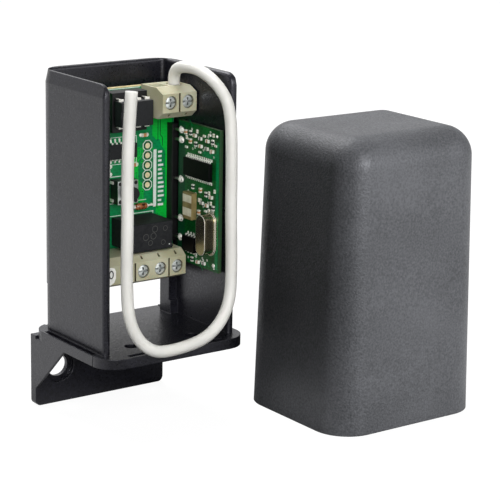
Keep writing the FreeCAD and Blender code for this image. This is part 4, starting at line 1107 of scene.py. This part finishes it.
def addRadioBoard(chance, back, front, low, high, thickness, mask, maskInset, strips, tracks,
                  header, outerTracks):
    addLaminate("radioBoardLaminate",
                (radioFace + thickness / 2, (back + front) / 2, (low + high) / 2),
                (thickness, back - front, high - low), "laminateDark", "radio_board", 0.06)
    rim = rectangle(front + maskInset, low + maskInset, back - maskInset, high - maskInset)
    inner = BoardArt(lambda u, v, w: Vector((radioFace - w, u, v)), mask)
    inner.slab(rim, maskShade, 0, -mask)
    # one strip is painted shadow along the header
    for corners, shade in strips:
        inner.slab(rectangle(*corners), shade, 0.02)
    for k in range(tracks["count"]):
        u = chance.uniform(*tracks["across"])
        v = chance.choice([chance.uniform(*area) for area in tracks["areas"]])
        run = chance.uniform(*tracks["run"]) * chance.choice((-1, 1))
        inner.track([(u, v), (u, v + run * 0.5), (u + run * 0.5, v + run)], tracks["width"],
                    chance.choice((trackShade, holeShade)), 0.02)
        inner.plated(u, v, *tracks["holeRadii"], tinShade, 0.036)
    for z in header["pins"]:
        inner.disc(header["depth"], z, header["padRadius"], tinShade, 0.04, 0.0, 16)
    for k in range(header["holes"]):
        inner.disc(header["depth"], header["pins"][0] - header["pitch"] * k, header["holeRadius"],
                   holeShade, 0.03, 0.0, 14)
    inner.finish("radioBoardInner",
                 ["maskRadio", "maskMiddle", "silkWhite", "maskDark", "tinBright"])
    outer = BoardArt(lambda u, v, w: Vector((radioFace + thickness + w, u, v)), backMask)
    outer.slab(rim, maskShade, 0, -backMask)
    lines = outerTracks
    for k in range(lines["count"]):
        z = lines["low"] + lines["pitch"] * k
        outer.track([(lines["back"], z), (lines["bend"] - k % 3, z),
                     (lines["end"] - k % 3, z + lines["rise"])], lines["width"], trackShade, 0.02)
    outer.finish("radioBoardOuter", ["maskRadio", "maskMiddle"])


# Smaller parts between the others, where there is room, and none beside the filter
def smallSpots(chance, taken, tries, across, areas, apart, size, filterFront, filterTop):
    spots = []
    for low, high in areas:
        for k in range(tries):
            u, v = chance.uniform(*across), chance.uniform(low, high)
            besideFilter = u > filterFront and low < filterTop
            if min(math.hypot(u - y, v - z) for y, z in taken) > apart and not besideFilter:
                taken = taken + [(u, v)]
                spots.append(((radioFace, u, v), chance.choice((onRadio, uprightOnRadio)),
                              (size, size, size)))
    return spots


# The places take capacitors and resistors in turn.
def addRadioParts(chance, header, places, filterPlaces, partForm, smallForm, small, pinSink,
                  cornerDots):
    spots = [((radioFace, y, z), uprightOnRadio if (k % 3 > 0) == k % 2 else onRadio)
             for k, (y, z) in enumerate(places)]
    growPiece("radioCapacitors", chipPartForm, partForm, spots[::2],
              ["radio_passives"], 20)
    growPiece("radioResistors", chipPartForm,
              {**partForm, "Height": 0.5, "Body Material": "resistorBlack"},
              spots[1::2], [], 20)
    growPiece("radioSmallParts", chipPartForm, smallForm,
              smallSpots(chance, places + filterPlaces, **small), [], 20)
    growPiece("headerSolder", solderForm, {"Radius": 0.95, "Height": 0.75, "Unevenness": 0.2},
              [((radioFace - 0.1, header["depth"] - pinSink, z), onRadio, (1, 0.9, 1))
               for z in header["pins"]])
    growPiece("cornerSolder", solderForm, {"Radius": 1.0, "Height": 0.3, "Unevenness": 0.1},
              [((radioFace - 0.02, y, z), onRadio, (size, size, 0.8))
               for y, z, size in cornerDots])


radioSeed = 11
chance = random.Random(radioSeed)
addRadioBoard(chance, **radioBoard)
addRadioParts(chance, radioBoard["header"], **radioParts)

# Two pale bands on the ceramic filter: depth and height of their corners
filterBands = {"face": 14.3, "bands": [(-3.51, 31.5, 0.26, 33.4), (-3.51, 28.0, 0.26, 30.0)]}
art = BoardArt(lambda u, v, w: Vector((filterBands["face"] - w, u, v)))
for corners in filterBands["bands"]:
    art.slab(rectangle(*corners), 0, 0.03, -0.05)
art.finish("filterBands", ["filterBand"])
print("radio board made")

# Floor, sky and lamps. A lamp is a place, its sides, power, what it lights, and what it faces
# if that isn't the middle of the object. A span is where a change starts and ends.
studio = {
    "floor": -20.65,
    "aim": (18, -10, 25),
    "lamps": {
        "capLamp": ((110, -610, 240), (0.2, 0.2), 6.4, "cap"),
        "receiverLamp": ((-290, -545, 250), (0.4, 0.4), 4.5, "receiver"),
        "receiverSide": ((200, -560, 300), (0.4, 0.4), 1.4, "receiver"),
        "topLamp": ((20, 280, 490), (0.4, 0.4), 2.6, ""),
        "floorStrip": ((13, -33, -19.5), (0.045, 0.002), 0.0017, "cap", (33, -33, -18)),
    },
    "skyLight": 0.07,
    "skyMirror": (0.85, 0.36), "skySpan": (-0.75, -0.2),        # lighter behind the object
    "floorGlow": (0.94, 1.0), "glowSpan": (0.12, 0.45),
    "floorPaper": 0.1,
    # Painted reflections: for mirror rays only, the floor glows bright behind the object and far in
    # front of it, and dark in a band just in front of it
    "reflectionGlowBehind": (0.0, 1.03), "backSpan": (-0.02, 0.05),         # what the floor mirrors
    "reflectionGlowFront": (1.1, 0), "frontSpan": (-0.15, -0.11),
}


# What a mirror or a clear body sees
def mirrorRays(tree):
    rays = tree.nodes.new("ShaderNodeLightPath").outputs
    seen = reckon(tree, rays["Is Glossy Ray"], rays["Is Transmission Ray"], "MAXIMUM")
    return seen, rays["Is Camera Ray"]


def addFloor(settings):
    form = bmesh.new()
    bmesh.ops.create_grid(form, x_segments=2, y_segments=2, size=2500,
                          matrix=Matrix.Translation((0, 0, settings["floor"])))
    mesh = bpy.data.meshes.new("studioFloor")
    form.to_mesh(mesh)
    form.free()
    mesh.transform(toFrame)
    floor = addObject("studioFloor", mesh)
    white = bpy.data.materials.new("studioFloor")
    white.use_nodes = True
    tree = white.node_tree
    tree.nodes.clear()
    mirrored, camera = mirrorRays(tree)
    where = tree.nodes.new("ShaderNodeTexCoord").outputs["Object"]
    spot = addNode(tree, "ShaderNodeSeparateXYZ", {0: where}).outputs
    # painted reflections: besides the lit paper, mirrors see a glow that depends on where on the
    # floor they look
    backward = reckon(tree, spot[1], spot[0], "SUBTRACT")
    paintedReflection = reckon(tree, spread(tree, backward, *settings["reflectionGlowBehind"], *settings["backSpan"]),
                   spread(tree, backward, *settings["reflectionGlowFront"], *settings["frontSpan"]))
    away = addNode(tree, "ShaderNodeVectorMath", {0: where}, operation="LENGTH").outputs[1]
    seen = spread(tree, away, *settings["floorGlow"], *settings["glowSpan"])
    lift = reckon(tree, reckon(tree, camera, seen, "MULTIPLY"),
                  reckon(tree, mirrored, paintedReflection, "MULTIPLY"))
    glow = addNode(tree, "ShaderNodeEmission", {"Strength": lift}).outputs[0]
    grey = (settings["floorPaper"],) * 3 + (1,)
    paper = addNode(tree, "ShaderNodeBsdfDiffuse", {"Color": grey}).outputs[0]
    both = addNode(tree, "ShaderNodeAddShader", {0: glow, 1: paper}).outputs[0]
    addNode(tree, "ShaderNodeOutputMaterial", {0: both})
    mesh.materials.append(white)


def addSky(settings):
    world = bpy.data.worlds.new("studioWorld")
    bpy.context.scene.world = world
    world.use_nodes = True
    tree = world.node_tree
    tree.nodes.clear()
    mirrored, camera = mirrorRays(tree)
    toward = tree.nodes.new("ShaderNodeNewGeometry").outputs["Incoming"]
    behind = addNode(tree, "ShaderNodeSeparateXYZ", {0: toward}).outputs[1]
    sky = spread(tree, behind, *settings["skyMirror"], *settings["skySpan"])
    sky = addNode(tree, "ShaderNodeMix", {0: mirrored, 2: settings["skyLight"], 3: sky}).outputs[0]
    strength = reckon(tree, sky, camera, "MAXIMUM")
    light = addNode(tree, "ShaderNodeBackground", {"Color": (1, 1, 1, 1), "Strength": strength})
    addNode(tree, "ShaderNodeOutputWorld", {0: light.outputs[0]})


# The cap and the receiver were photographed apart, so each has its own lamps.
def addLamps(settings):
    lit = {"cap": bpy.data.collections.new("litCap"),
           "receiver": bpy.data.collections.new("litReceiver")}
    for piece in bpy.context.scene.objects:
        if piece.type in ("MESH", "CURVE"):
            lit["cap" if piece == nodes["cover"] else "receiver"].objects.link(piece)
    for name, (position, sides, power, group, *target) in settings["lamps"].items():
        lamp = bpy.data.lights.new(name, "AREA")
        lamp.shape = "RECTANGLE"
        lamp.size, lamp.size_y = sides
        lamp.energy = power
        holder = addObject(name, lamp)
        if group:
            holder.light_linking.receiver_collection = lit[group]
        spot = place(*position)
        backward = spot - place(*(target[0] if target else settings["aim"]))
        turned = backward.to_track_quat("Z", "Y").to_matrix().to_4x4()
        holder.matrix_world = Matrix.Translation(spot) @ turned


addFloor(studio)
addSky(studio)
addLamps(studio)
bpy.context.scene.view_settings.view_transform = "Standard"
print("studio set")
